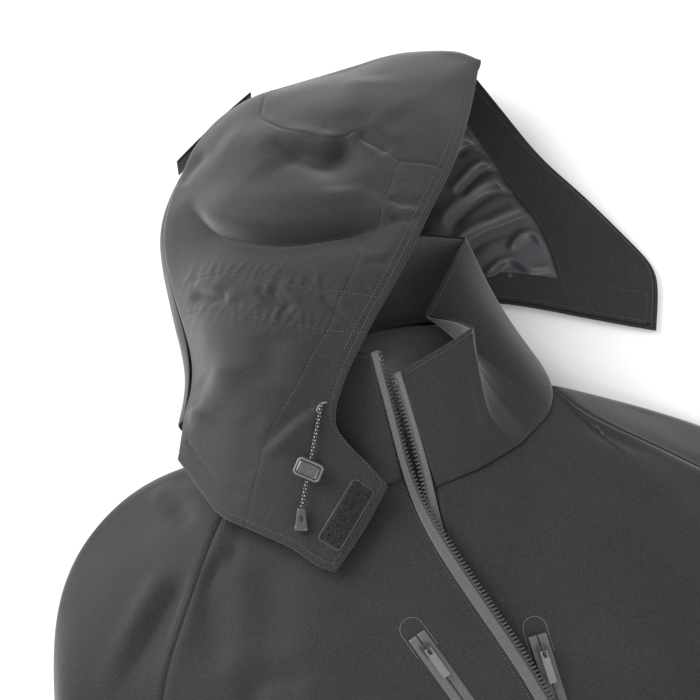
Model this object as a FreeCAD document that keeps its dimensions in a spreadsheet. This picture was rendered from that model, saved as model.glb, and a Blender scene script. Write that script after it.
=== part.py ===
import FreeCAD, Part
import Sketcher
import math
import os

# Hardshell jacket with a detachable hood, lying on its back with the front unzipped.
# Frame: origin on the ground under the middle of the back panel, +Y from hem to hood,
# +X towards the wearer's left, +Z up. Millimetres.

os.makedirs("parts", exist_ok=True)
doc = FreeCAD.newDocument("HardshellJacket")
V = FreeCAD.Vector

# ---------------------------------------------------------------- driving dimensions
DIMENSIONS = {
    "cloth": 1.4,              # laminate with its seam allowance
    "lining_cloth": 0.8,
    "layer_gap": 0.8,          # air between two layers of cloth
    "hem_rise": 40.0,          # height of the front at the hem
    "chest_rise": 88.0,        # height of the front at the neck
    "front_drop": 9.0,         # the left front lies this far under the right one
    "sleeve_rise": 50.0,
    "cuff_rise": 34.0,
    "tape_wide": 8.0,
    "tape_thick": 0.8,
    "teeth_wide": 4.4,
    "teeth_thick": 2.4,
    "pocket_zip_long": 160.0,
    "pocket_tape_wide": 13.0,
    "hand_zip_long": 170.0,
    "coil_wide": 3.0,
    "coil_thick": 1.2,
    "slider_long": 9.0,
    "slider_wide": 7.0,
    "slider_tall": 2.4,
    "slider_gap": 0.4,
    "bridge_long": 5.4,
    "bridge_tall": 3.4,
    "bridge_thick": 1.2,
    "puller_long": 22.0,
    "puller_wide": 5.2,
    "puller_thick": 1.2,
    "main_slider_long": 13.0,
    "main_slider_wide": 11.6,
    "main_slider_plate": 1.2,
    "box_long": 11.0,
    "box_wide": 9.0,
    "box_tall": 5.0,
    "garage_wide": 21.0,
    "garage_long": 30.0,
    "garage_band": 2.6,
    "bag_long": 190.0,
    "bag_wide": 118.0,
    "bag_thick": 1.6,
    "cuff_long": 30.0,
    "tab_long": 62.0,
    "tab_wide": 24.0,
    "tab_thick": 1.8,
    "loop_patch_long": 52.0,
    "loop_patch_thick": 1.0,
    "hook_patch_long": 49.0,
    "hook_patch_wide": 18.5,
    "hook_patch_thick": 1.8,
    "back_tab_long": 84.0,
    "back_tab_wide": 26.0,
    "cord_diameter": 2.8,
    "eyelet_outer": 3.6,
    "eyelet_inner": 1.9,
    "eyelet_thick": 1.2,
    "lock_long": 13.0,
    "lock_wide": 20.0,
    "lock_tall": 9.0,
    "lock_wall": 2.6,
    "lock_floor": 1.0,
    "button_tall": 2.8,
    "button_proud": 1.0,
    "button_gap": 0.3,
    "spring_wire": 0.5,
    "spring_radius": 1.5,
    "cord_end_long": 16.0,
    "cord_end_wide": 9.6,
    "cord_end_tall": 5.6,
}
sheet = doc.addObject("Spreadsheet::Sheet", "Dims")
for row, (alias, value) in enumerate(DIMENSIONS.items(), start=1):
    sheet.set(f"A{row}", alias)
    sheet.set(f"B{row}", str(value))
    sheet.setAlias(f"B{row}", alias)
doc.recompute()

finished = []      # every sub-part, in the order it is made


def dim(alias):
    """A driving dimension, read from the sheet."""
    return float(sheet.get(alias))


def keep(piece, label):
    """Names a sub-part, which makes it one of the files written at the end."""
    piece.Label = label
    finished.append(piece)
    return piece


def bind(piece, **cells):
    """Binds properties of an object to expressions over the sheet."""
    for name, expression in cells.items():
        piece.setExpression(name, expression)
    return piece


# ---------------------------------------------------------------- shape of the lying jacket
HEM_Y = -395.0
ARMPIT_Y = 60.0
NECK_Y = 263.0
EDGE_Z = 3.0                   # where the front meets the back at the side seams
FRONT_ROUND = 2.4              # how boxy the arch of the front is
FRONT_FALL = 0.85


def smooth(t):
    """0 to 1 with flat ends."""
    t = min(1.0, max(0.0, t))
    return t * t * (3.0 - 2.0 * t)


def ridge(y):
    """Height of the front along its middle."""
    share = (y - HEM_Y) / (NECK_Y - HEM_Y)
    return dim("hem_rise") + (dim("chest_rise") - dim("hem_rise")) * min(share, 1.0)


def half_width(y):
    """Half width of the arch: the side seam below the armpit, wider where the sleeve is sewn on."""
    waist = 284.0 - 14.0 * smooth((y + 100.0) / 160.0)
    return waist + 34.0 * smooth((y - ARMPIT_Y) / 90.0)


def shoulder_line(x):
    """How far up the shoulder reaches. The left shoulder is pulled down, the right one lies out."""
    if x < 0:
        return 357.0 - 0.10 * max(0.0, -x - 150.0) - 0.55 * max(0.0, -x - 215.0)
    return 357.0 - 50.0 * smooth(x / 110.0) - 0.85 * max(0.0, x - 118.0)


def front_height(x, y):
    """Top surface of the lying jacket without its sleeves."""
    across = min(1.0, abs(x) / half_width(y))
    arch = (1.0 - across**FRONT_ROUND) ** FRONT_FALL
    fall = min(1.0, max(0.0, (y - shoulder_line(x) + 172.0) / 172.0))
    return EDGE_Z + (ridge(y) - EDGE_Z) * arch * math.sqrt(1.0 - fall * fall)


def resample(points, count):
    """count points evenly spread along a polyline of plan or space points."""
    lengths = [0.0]
    for a, b in zip(points, points[1:]):
        lengths.append(lengths[-1] + math.dist(a, b))
    out = []
    for i in range(count):
        want = lengths[-1] * i / (count - 1)
        k = 1
        while k < len(points) - 1 and lengths[k] < want:
            k += 1
        share = (want - lengths[k - 1]) / (lengths[k] - lengths[k - 1])
        a, b = points[k - 1], points[k]
        out.append(tuple(p + (q - p) * share for p, q in zip(a, b)))
    return out


def coons(low, high, left, right):
    """Grid of points filling four boundary lines.

    low and high run left to right, left and right run low to high.
    """
    columns, rows = len(low), len(left)
    grid = []
    for j in range(rows):
        v = j / (rows - 1)
        line = []
        for i in range(columns):
            u = i / (columns - 1)
            line.append(tuple(
                (1 - v) * low[i][k] + v * high[i][k] + (1 - u) * left[j][k] + u * right[j][k]
                - (1 - u) * (1 - v) * low[0][k] - u * (1 - v) * low[-1][k]
                - (1 - u) * v * high[0][k] - u * v * high[-1][k]
                for k in range(len(low[0]))))
        grid.append(line)
    return grid


def pole_surface(grid):
    """A smooth surface steered by a grid of poles. It runs through the corners and never overshoots."""
    rows, columns = len(grid), len(grid[0])
    degree_v, degree_u = min(3, rows - 1), min(3, columns - 1)

    def knots(count, degree):
        inner = count - degree - 1
        values = [i / (inner + 1) for i in range(inner + 2)]
        mults = [degree + 1] + [1] * inner + [degree + 1]
        return values, mults

    knots_v, mults_v = knots(rows, degree_v)
    knots_u, mults_u = knots(columns, degree_u)
    surface = Part.BSplineSurface()
    surface.buildFromPolesMultsKnots(
        [[V(*p) for p in line] for line in grid], mults_v, mults_u, knots_v, knots_u,
        False, False, degree_v, degree_u)
    return surface


def grid_normals(grid):
    """Unit normals of a grid of poles, turned upwards or outwards as the grid itself is wound."""
    rows, columns = len(grid), len(grid[0])
    normals = []
    for j in range(rows):
        line = []
        for i in range(columns):
            a = V(*grid[j][min(i + 1, columns - 1)]) - V(*grid[j][max(i - 1, 0)])
            b = V(*grid[min(j + 1, rows - 1)][i]) - V(*grid[max(j - 1, 0)][i])
            line.append(a.cross(b).normalize())
        normals.append(line)
    return normals


def shifted(grid, distance):
    """The grid moved along its own normals."""
    normals = grid_normals(grid)
    return [[tuple(V(*p) + n * distance) for p, n in zip(line, across)]
            for line, across in zip(grid, normals)]


def cloth_solid(grid, thickness):
    """A closed sheet of cloth: the grid's surface and its shifted copy, joined round the rim."""
    inner = shifted(grid, -thickness)
    rims = [[grid[0], inner[0]], [grid[-1], inner[-1]],
            [[line[0] for line in grid], [line[0] for line in inner]],
            [[line[-1] for line in grid], [line[-1] for line in inner]]]
    faces = [pole_surface(poles).toShape() for poles in [grid, inner] + rims]
    shell = Part.makeShell(faces)
    shell.sewShape()
    solid = Part.makeSolid(shell)
    if solid.Volume < 0:
        solid.reverse()
    return solid


def cloth_piece(label, grid, thickness_cell):
    """A sub-part made of cloth. Its sizes come from the sheet through the grid and the thickness."""
    piece = doc.addObject("Part::Feature", label)
    piece.Shape = cloth_solid(grid, dim(thickness_cell))
    piece.Placement = FreeCAD.Placement()
    return keep(piece, label)


def with_heights(plan_grid, height):
    return [[(x, y, height(x, y)) for x, y in line] for line in plan_grid]


def inset(grid, cut_low=0.0, cut_high=0.0, cut_left=0.0, cut_right=0.0):
    """The same surface with its edges drawn in by a share of the grid's own length."""
    rows, columns = len(grid), len(grid[0])

    def at(v, u):
        j = min(int(v * (rows - 1)), rows - 2)
        i = min(int(u * (columns - 1)), columns - 2)
        fv, fu = v * (rows - 1) - j, u * (columns - 1) - i
        return tuple(
            (1 - fv) * ((1 - fu) * grid[j][i][k] + fu * grid[j][i + 1][k])
            + fv * ((1 - fu) * grid[j + 1][i][k] + fu * grid[j + 1][i + 1][k])
            for k in range(3))

    return [[at(cut_low + (1 - cut_low - cut_high) * j / (rows - 1),
                cut_left + (1 - cut_left - cut_right) * i / (columns - 1))
             for i in range(columns)] for j in range(rows)]


# ---------------------------------------------------------------- plan lines of the body
RIGHT_SIDE = [(-283, HEM_Y), (-284, -250), (-282, -100), (-276, 10), (-270, ARMPIT_Y)]
RIGHT_RAGLAN = [(-270, ARMPIT_Y), (-254, 130), (-230, 197), (-186, 250), (-142, 295), (-99, 332)]
LEFT_SIDE = [(283, HEM_Y), (284, -250), (281, -110), (274, -10), (266, 44)]
LEFT_RAGLAN = [(266, 44), (246, 104), (206, 160), (164, 213), (131, 256), (119, 292)]
NECK_RIGHT = [(-11.5, 262), (-34, 262), (-66, 279), (-88, 304), (-99, 332)]
NECK_LEFT = [(-3.5, 247), (36, 247), (72, 255), (102, 272), (119, 292)]
NECK_BACK = [(-99, 332), (-92, 364), (-50, 386), (10, 390), (70, 374), (112, 338), (119, 292)]
ZIP_STRAIGHT_END = 60.0        # the zip runs straight from the hem to here, then sways to the neck
RIGHT_ROW = [(8, HEM_Y + 8), (8, -200), (8, ZIP_STRAIGHT_END), (4, 110), (-5, 165), (-12, 215), (-14, 240),
             (-11.5, 262)]
LEFT_ROW = [(-38, HEM_Y + 8), (-38, -200), (-38, 20), (-32, 120), (-23, 170), (-15, 218), (-3.5, 247)]
COLLAR_RIGHT_ROW = [(-11.5, 263, 79), (-5, 298, 100), (1, 341, 121)]
COLLAR_LEFT_ROW = [(-3.2, 248, 76), (0.5, 282, 97), (4, 321, 119)]


def narrowing(y):
    """The zip is narrower in the collar than on the fronts."""
    return 1.0 - 0.38 * smooth((y - 205.0) / 45.0)


def left_front_height(x, y):
    """The left front passes under the right one near the middle."""
    near = 1.0 - smooth((x - 30.0) / 90.0)
    below_neck = 1.0 - smooth((y - 213.0) / 64.0)
    return front_height(x, y) - dim("front_drop") * near * below_neck


def front_grid(row, side, raglan, neck, edge_shift, height, columns=8, rows=14):
    """A front panel: hem below, zip edge on one side, side seam and raglan seam on the other."""
    edge = [(x + edge_shift * narrowing(y), y) for x, y in row]
    edge[0] = (edge[0][0], HEM_Y)
    outer = side + raglan[1:]
    low = resample([edge[0], outer[0]], columns)
    corner = (neck[0][0] + edge_shift * narrowing(neck[0][1]), neck[0][1])
    high = resample([corner] + neck[1:], columns)
    grid = coons(low, high, resample(edge, rows), resample(outer, rows))
    return with_heights(grid, height)


def turned(grid):
    """Winds a grid the other way, so that its normals point up."""
    return [list(reversed(line)) for line in grid]


def body_panels():
    """The two fronts, the flat back and the lining that covers the back inside."""
    tape = dim("tape_wide") + 1.0
    right = front_grid(RIGHT_ROW, RIGHT_SIDE, RIGHT_RAGLAN, NECK_RIGHT, -tape, front_height)
    left = front_grid(LEFT_ROW, LEFT_SIDE, LEFT_RAGLAN, NECK_LEFT, tape, left_front_height)
    cloth_piece("right_front_panel", turned(right), "cloth")
    cloth_piece("left_front_panel", left, "cloth")
    outline = (RIGHT_SIDE + RIGHT_RAGLAN[1:] + NECK_BACK[1:-1]
               + list(reversed(LEFT_RAGLAN)) + list(reversed(LEFT_SIDE))[1:])
    flat_piece("back_panel", outline, "cloth", 0.0)
    middle = (0.0, -40.0)
    inner = [(middle[0] + (x - middle[0]) * 0.955, middle[1] + (y - middle[1]) * 0.975)
             for x, y in outline]
    flat_piece("back_lining", inner, "lining_cloth", dim("cloth") + dim("layer_gap"))


def flat_piece(label, outline, thickness_cell, height):
    """A flat cut of cloth as a padded sketch."""
    body = doc.addObject("PartDesign::Body", label)
    sketch = body.newObject("Sketcher::SketchObject", f"{label}_outline")
    sketch.AttachmentSupport = [(plane_of(body, "XY_Plane"), "")]
    sketch.MapMode = "FlatFace"
    corners = [V(x, y, 0) for x, y in outline]
    for a, b in zip(corners, corners[1:] + corners[:1]):
        sketch.addGeometry(Part.LineSegment(a, b), False)
    pad = body.newObject("PartDesign::Pad", f"{label}_cut")
    pad.Profile = sketch
    bind(pad, Length=f"Dims.{thickness_cell}")
    body.Placement = FreeCAD.Placement(V(0, 0, height), FreeCAD.Rotation())
    return keep(body, label)


def plane_of(body, role):
    return next(f for f in body.Origin.OriginFeatures if f.Role == role)


# ---------------------------------------------------------------- sleeves
RIGHT_OUTER = [(-101, 336), (-150, 356), (-206, 346), (-262, 312), (-306, 226), (-345, 90), (-395, -80),
               (-440, -238)]
RIGHT_INNER = [(-272, 59), (-290, -20), (-318, -130), (-348, -262)]
LEFT_OUTER = [(121, 296), (146, 277), (200, 238), (252, 180), (300, 90), (338, -40), (372, -180), (398, -300)]
LEFT_INNER = [(269, 43), (282, -40), (296, -160), (306, -312)]
SEAM_SHIFT = 1.9               # clear gap at the raglan seam


def sleeve_grid(outer, inner, raglan, away, columns=7, rows=12):
    """Top of a sleeve: raglan seam at the low side, cuff at the high side."""
    seam = [(x + away, y + 0.5) for x, y in reversed(raglan)]
    grid = coons(resample(seam, columns), resample([outer[-1], inner[-1]], columns),
                 resample([seam[0]] + outer[1:], rows), resample([seam[-1]] + inner[1:], rows))
    out = []
    for j, line in enumerate(grid):
        share = smooth(j / (rows - 1) / 0.45)
        rise = dim("sleeve_rise") + (dim("cuff_rise") - dim("sleeve_rise")) * j / (rows - 1)
        row = []
        for i, (x, y) in enumerate(line):
            across = abs(2.0 * i / (columns - 1) - 1.0)
            tube = EDGE_Z + (rise - EDGE_Z) * (1.0 - across**FRONT_ROUND) ** FRONT_FALL
            row.append((x, y, (1.0 - share) * front_height(x, y) + share * tube))
        out.append(row)
    return out


def sleeves():
    for side, outer, inner, raglan, away in (
            ("right", RIGHT_OUTER, RIGHT_INNER, RIGHT_RAGLAN, -SEAM_SHIFT),
            ("left", LEFT_OUTER, LEFT_INNER, LEFT_RAGLAN, SEAM_SHIFT)):
        grid = sleeve_grid(outer, inner, raglan, away)
        if side == "left":
            grid = turned(grid)
        cloth_piece(f"{side}_sleeve_top", grid, "cloth")
        outline = ([(x + 1.5 * away, y) for x, y in raglan] + outer[1:] + list(reversed(inner))[:-1])
        flat_piece(f"{side}_sleeve_under", outline, "cloth", 0.0)
        cuff(side, outer[-1], inner[-1])


def cuff(side, outer_corner, inner_corner):
    """The cuff band: a flattened tube that carries on from the end of the sleeve."""
    a, b = V(*outer_corner, 0), V(*inner_corner, 0)
    across = (b - a).normalize()
    along = V(0, 0, 1).cross(across)
    if along.y > 0:
        along = along * -1
    width = (b - a).Length
    wall = dim("cloth")
    gap = dim("layer_gap")

    def section(shrink):
        points = []
        for i in range(13):
            t = i / 12.0
            reach = abs(2.0 * t - 1.0)
            z = EDGE_Z + (dim("cuff_rise") - EDGE_Z) * (1.0 - reach**FRONT_ROUND) ** FRONT_FALL
            points.append(a + across * (shrink + (width - 2 * shrink) * t) + V(0, 0, z - shrink))
        low_b = b + across * -shrink + V(0, 0, shrink)
        low_a = a + across * shrink + V(0, 0, shrink)
        arch = Part.BSplineCurve()
        arch.interpolate(points)
        edges = [arch.toShape(), Part.makeLine(points[-1], low_b),
                 Part.makeLine(low_b, low_a), Part.makeLine(low_a, points[0])]
        return Part.Face(Part.Wire(edges))

    length = along * dim("cuff_long")
    tube = section(0.0).extrude(length).cut(section(wall).extrude(length))
    piece = doc.addObject("Part::Feature", f"{side}_cuff")
    tube.translate(along * gap)
    piece.Shape = tube
    piece.Placement = FreeCAD.Placement()
    keep(piece, f"{side}_cuff")

    middle = (a + b) * 0.5 + along * (gap + dim("cuff_long") * 0.5)
    turn = FreeCAD.Rotation(across, V(0, 0, 1).cross(across), V(0, 0, 1), "XYZ")
    top = middle + V(0, 0, dim("cuff_rise") + 0.4)
    rounded_bar(f"{side}_cuff_loop_patch", "loop_patch_long", "tab_wide", "loop_patch_thick", 3.0,
                FreeCAD.Placement(top, turn))
    rounded_bar(f"{side}_cuff_tab", "tab_long", "tab_wide", "tab_thick", 4.0,
                FreeCAD.Placement(top + V(0, 0, dim("loop_patch_thick") + 0.5), turn))
    print(f"{side} cuff tab: sewn end", tuple(top + across * (dim("tab_long") * 0.5)), "axis", tuple(along))


def rounded_bar(label, long_cell, wide_cell, thick_cell, radius, placement):
    """A flat bar with rounded corners, centred on its placement and standing on its lower face."""
    body = doc.addObject("PartDesign::Body", label)
    sketch = rectangle(body, f"{label}_outline", long_cell, wide_cell)
    pad = body.newObject("PartDesign::Pad", f"{label}_pad")
    pad.Profile = sketch
    bind(pad, Length=f"Dims.{thick_cell}")
    doc.recompute()
    upright = [f"Edge{n}" for n, edge in enumerate(pad.Shape.Edges, start=1)
               if abs(edge.tangentAt(edge.FirstParameter).z) > 0.99]
    rounding = body.newObject("PartDesign::Fillet", f"{label}_corners")
    rounding.Base = (pad, upright)
    rounding.Radius = radius
    body.Placement = placement
    return keep(body, label)


def rectangle(body, name, long_cell, wide_cell):
    """A sketched rectangle about the body's origin, bound to two cells."""
    sketch = body.newObject("Sketcher::SketchObject", name)
    sketch.AttachmentSupport = [(plane_of(body, "XY_Plane"), "")]
    sketch.MapMode = "FlatFace"
    x, y = dim(long_cell) / 2, dim(wide_cell) / 2
    corners = [V(-x, -y, 0), V(x, -y, 0), V(x, y, 0), V(-x, y, 0)]
    for a, b in zip(corners, corners[1:] + corners[:1]):
        sketch.addGeometry(Part.LineSegment(a, b), False)
    for k in range(4):
        sketch.addConstraint(Sketcher.Constraint("Coincident", k, 2, (k + 1) % 4, 1))
    sketch.addConstraint(Sketcher.Constraint("Horizontal", 0))
    sketch.addConstraint(Sketcher.Constraint("Horizontal", 2))
    sketch.addConstraint(Sketcher.Constraint("Vertical", 1))
    sketch.addConstraint(Sketcher.Constraint("Vertical", 3))
    sketch.addConstraint(Sketcher.Constraint("Symmetric", 0, 1, 2, 1, -1, 1))
    across = sketch.addConstraint(Sketcher.Constraint("DistanceX", 0, 1, 0, 2, 2 * x))
    upward = sketch.addConstraint(Sketcher.Constraint("DistanceY", 1, 1, 1, 2, 2 * y))
    sketch.renameConstraint(across, "long")
    sketch.renameConstraint(upward, "wide")
    sketch.setExpression("Constraints.long", f"Dims.{long_cell}")
    sketch.setExpression("Constraints.wide", f"Dims.{wide_cell}")
    return sketch


# ---------------------------------------------------------------- collar
# Matching points of the neck seam and the top edge, from the right front round the back.
COLLAR_BASE = [(-17.5, 264, 81), (-50, 270, 78), (-84, 298, 65), (-100, 335, 45), (-86, 372, 22),
               (-20, 391, 13), (30, 390, 12), (74, 376, 13), (116, 336, 20), (121, 300, 36),
               (104, 272, 56), (72, 254, 71), (36, 249, 77.5), (2.6, 249, 79.5)]
COLLAR_TOP = [(-5, 342, 120), (-34, 364, 103), (-66, 389, 84), (-80, 414, 63), (-50, 433, 52),
              (0, 441, 52), (40, 439, 56), (74, 432, 62), (106, 409, 74), (86, 392, 82), (50, 362, 88),
              (76, 331, 112), (40, 325, 116), (9.8, 321, 118)]
COLLAR_UNFOLDED = 9            # the lining covers this many of the points, as far as the folded corner


def collar():
    """The standing collar: an open tube whose left front corner is folded in."""
    rows = 4
    grid = []
    for j in range(rows):
        v = j / (rows - 1)
        grid.append([tuple(p + (q - p) * v for p, q in zip(a, b)) for a, b in zip(COLLAR_BASE, COLLAR_TOP)])
    cloth_piece("collar_shell", grid, "cloth")
    unfolded = [line[:COLLAR_UNFOLDED] for line in grid]
    behind = shifted(inset(unfolded, 0.02, 0.04, 0.01, 0.01), -(dim("cloth") + 2 * dim("layer_gap")))
    cloth_piece("collar_lining", behind, "lining_cloth")


# ---------------------------------------------------------------- zips
def strip(path, start, stop, lift):
    """A band beside a path of space points, between two sideways distances."""
    return [[(x + narrowing(y) * (start + (stop - start) * i / 3.0), y, z + lift) for i in range(4)]
            for x, y, z in path]


def front_zip():
    """Tapes and rows of teeth on both fronts, up to the collar's top, with the box and pin at the hem."""
    count = 22
    tape, teeth = dim("tape_wide"), dim("teeth_wide")
    edge_gap = 0.3
    for side, row, collar_row, height, sign in (
            ("right", RIGHT_ROW, COLLAR_RIGHT_ROW, front_height, 1),
            ("left", LEFT_ROW, COLLAR_LEFT_ROW, left_front_height, -1)):
        path = [(x, y, height(x, y)) for x, y in resample(row, 60)] + collar_row
        path = resample(path, count)
        band = strip(path, -sign * tape, 0.0, 0.0)
        above_tape = (dim("teeth_thick") - dim("tape_thick")) / 2
        bead = strip(path, sign * edge_gap, sign * (edge_gap + teeth), above_tape)
        if sign < 0:
            band, bead = turned(band), turned(bead)
        cloth_piece(f"front_zip_tape_{side}", band, "tape_thick")
        cloth_piece(f"front_zip_teeth_{side}", bead, "teeth_thick")
    slope = math.degrees(math.atan2(dim("chest_rise") - dim("hem_rise"), NECK_Y - HEM_Y))
    turn = FreeCAD.Rotation(V(1, 0, 0), slope)
    row_x = RIGHT_ROW[0][0] + edge_gap + teeth / 2
    hem_z = front_height(row_x, HEM_Y)
    bead_z = (dim("teeth_thick") - dim("tape_thick")) / 2 - dim("teeth_thick") / 2
    box("front_zip_box", "box_wide", "box_long", "box_tall",
        FreeCAD.Placement(V(row_x, HEM_Y + 1.0, hem_z + bead_z), turn))
    box("front_zip_pin", "teeth_wide", "box_long", "teeth_thick",
        FreeCAD.Placement(V(LEFT_ROW[0][0] - edge_gap - teeth / 2, HEM_Y + 1.0,
                            left_front_height(LEFT_ROW[0][0], HEM_Y) + bead_z), turn))
    start_y = HEM_Y + 8.0 + 9.0
    start = V(row_x, start_y, front_height(row_x, start_y) + bead_z)
    main_slider(start, turn)
    direction = turn.multVec(V(0, 1, 0))
    print("front zip slider at", tuple(start), "axis", tuple(direction))


def box(label, x_cell, y_cell, z_cell, placement):
    """A plain block centred on its placement."""
    body = doc.addObject("PartDesign::Body", label)
    sketch = rectangle(body, f"{label}_outline", x_cell, y_cell)
    pad = body.newObject("PartDesign::Pad", f"{label}_pad")
    pad.Profile = sketch
    pad.Midplane = True
    bind(pad, Length=f"Dims.{z_cell}")
    doc.recompute()
    rounding = body.newObject("PartDesign::Chamfer", f"{label}_edges")
    top = [f"Edge{n}" for n, edge in enumerate(pad.Shape.Edges, start=1)
           if abs(edge.tangentAt(edge.FirstParameter).z) > 0.99]
    rounding.Base = (pad, top)
    rounding.Size = 0.5
    body.Placement = placement
    return keep(body, label)


def primitive(name, length, width, height, x, y, z):
    """A block used inside a boolean, sized by expressions and placed by its lowest corner."""
    block = doc.addObject("Part::Box", name)
    bind(block, Length=length, Width=width, Height=height)
    block.setExpression("Placement.Base.x", x)
    block.setExpression("Placement.Base.y", y)
    block.setExpression("Placement.Base.z", z)
    return block


def boolean(kind, name, base, tool):
    made = doc.addObject(f"Part::{kind}", name)
    made.Base = base
    made.Tool = tool
    return made


def main_slider(start, turn):
    """Slider of the front zip: two plates joined by a web, with a bridge for the puller."""
    name = "front_zip_slider"
    width, long = "Dims.main_slider_wide", "Dims.main_slider_long"
    tall = "(Dims.teeth_thick + 2 * Dims.slider_gap + 2 * Dims.main_slider_plate)"
    channel = "(Dims.teeth_thick + 2 * Dims.slider_gap)"
    block = primitive(f"{name}_block", width, long, tall, f"-{width} / 2", f"-{long} / 2", f"-{tall} / 2")
    near = primitive(f"{name}_near_channel", f"{width} / 2 - 0.6", f"{long} + 2", channel,
                     f"-{width} / 2 - 0.1", f"-{long} / 2 - 1", f"-{channel} / 2")
    far = primitive(f"{name}_far_channel", f"{width} / 2 - 0.6", f"{long} + 2", channel,
                    "0.7", f"-{long} / 2 - 1", f"-{channel} / 2")
    bridge = primitive(f"{name}_bridge", "Dims.bridge_thick", "Dims.bridge_long", "Dims.bridge_tall",
                       "-Dims.bridge_thick / 2", "-Dims.bridge_long / 2", f"{tall} / 2")
    window = primitive(f"{name}_window", "Dims.bridge_thick + 2", "Dims.bridge_long - 2.4",
                       "Dims.bridge_tall - 1.2", "-Dims.bridge_thick / 2 - 1",
                       "-Dims.bridge_long / 2 + 1.2", f"{tall} / 2")
    opened = boolean("Cut", f"{name}_open", boolean("Cut", f"{name}_half", block, near), far)
    loop = boolean("Cut", f"{name}_loop", bridge, window)
    slider = boolean("Fuse", name, opened, loop)
    web_from_bead = dim("teeth_wide") / 2 + dim("slider_gap") + 0.7
    centre = start + V(web_from_bead, 0, 0)
    slider.Placement = FreeCAD.Placement(centre, turn)
    keep(slider, name)
    lift = dim("teeth_thick") / 2 + dim("slider_gap") + dim("main_slider_plate") + 1.2
    pivot = centre + turn.multVec(V(0, 0, lift))
    puller("front_zip_puller", pivot, turn.multiply(FreeCAD.Rotation(V(0, 0, 1), -90)))


def puller(name, pivot, turn):
    """A puller: a tag with an eye round the slider's bridge. It turns about its own end bar."""
    plate = primitive(f"{name}_plate", "Dims.puller_long", "Dims.puller_wide", "Dims.puller_thick",
                      "0", "-Dims.puller_wide / 2", "-Dims.puller_thick / 2")
    bar = doc.addObject("Part::Cylinder", f"{name}_bar")
    bind(bar, Radius="Dims.puller_thick / 2", Height="Dims.puller_wide")
    bar.Placement = FreeCAD.Placement(V(0, -dim("puller_wide") / 2, 0), FreeCAD.Rotation(V(1, 0, 0), -90))
    eye = primitive(f"{name}_eye", "3.8", "Dims.bridge_thick + 1.2", "Dims.puller_thick + 2",
                    "Dims.puller_thick / 2", "-(Dims.bridge_thick + 1.2) / 2", "-Dims.puller_thick / 2 - 1")
    tag = boolean("Cut", name, boolean("Fuse", f"{name}_whole", plate, bar), eye)
    tag.Placement = FreeCAD.Placement(pivot, turn)
    print(name, "pivot", tuple(pivot), "axis", tuple(turn.multVec(V(0, 1, 0))))
    return keep(tag, name)


def coil_slider(name, placement):
    """Slider of a pocket zip: a block that rides over the coil, with a bridge for the puller."""
    long, wide, tall = "Dims.slider_long", "Dims.slider_wide", "Dims.slider_tall"
    block = primitive(f"{name}_block", long, wide, tall, f"-{long} / 2", f"-{wide} / 2", "0.3")
    groove = primitive(f"{name}_groove", f"{long} + 2", "Dims.coil_wide + 2 * Dims.slider_gap",
                       "Dims.coil_thick + Dims.slider_gap", f"-{long} / 2 - 1",
                       "-(Dims.coil_wide + 2 * Dims.slider_gap) / 2", "0")
    bridge = primitive(f"{name}_bridge", "Dims.bridge_long", "Dims.bridge_thick", "Dims.bridge_tall",
                       "-Dims.bridge_long / 2", "-Dims.bridge_thick / 2", f"0.3 + {tall}")
    window = primitive(f"{name}_window", "Dims.bridge_long - 2.4", "Dims.bridge_thick + 2",
                       "Dims.bridge_tall - 1.2", "-Dims.bridge_long / 2 + 1.2",
                       "-Dims.bridge_thick / 2 - 1", f"0.3 + {tall}")
    grooved = boolean("Cut", f"{name}_grooved", block, groove)
    loop = boolean("Cut", f"{name}_loop", bridge, window)
    slider = boolean("Fuse", name, grooved, loop)
    slider.Placement = placement
    return keep(slider, name)


def pocket_zip(name, top, bottom, height, length_cell, with_garage):
    """Tape, coil, slider and puller of a pocket, along a straight line on a front panel."""
    a, b = V(*top, height(*top)), V(*bottom, height(*bottom))
    along = (b - a).normalize()
    across = V(0, 0, 1).cross(along).normalize()
    normal = along.cross(across)
    turn = FreeCAD.Rotation(along, across, normal, "XYZ")
    lift = 0.9
    base = a + normal * lift
    half = dim(length_cell) / 2
    thick = dim("tape_thick")
    rounded_bar(f"{name}_zip_tape", length_cell, "pocket_tape_wide", "tape_thick", 1.5,
                FreeCAD.Placement(base + along * half, turn))
    body = doc.addObject("Part::Box", f"{name}_zip_coil")
    bind(body, Length=f"Dims.{length_cell} - 8", Width="Dims.coil_wide", Height="Dims.coil_thick")
    body.Placement = FreeCAD.Placement(
        base + along * 4 - across * (dim("coil_wide") / 2) + normal * thick, turn)
    keep(body, f"{name}_zip_coil")
    slide_from = base + along * 12 + normal * thick
    coil_slider(f"{name}_zip_slider", FreeCAD.Placement(slide_from, turn))
    pivot = slide_from + normal * (0.3 + dim("slider_tall") + 1.2)
    puller(f"{name}_zip_puller", pivot, turn)
    print(name, "slider axis", tuple(along))
    if with_garage:
        garage(name, FreeCAD.Placement(base, turn))


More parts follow.
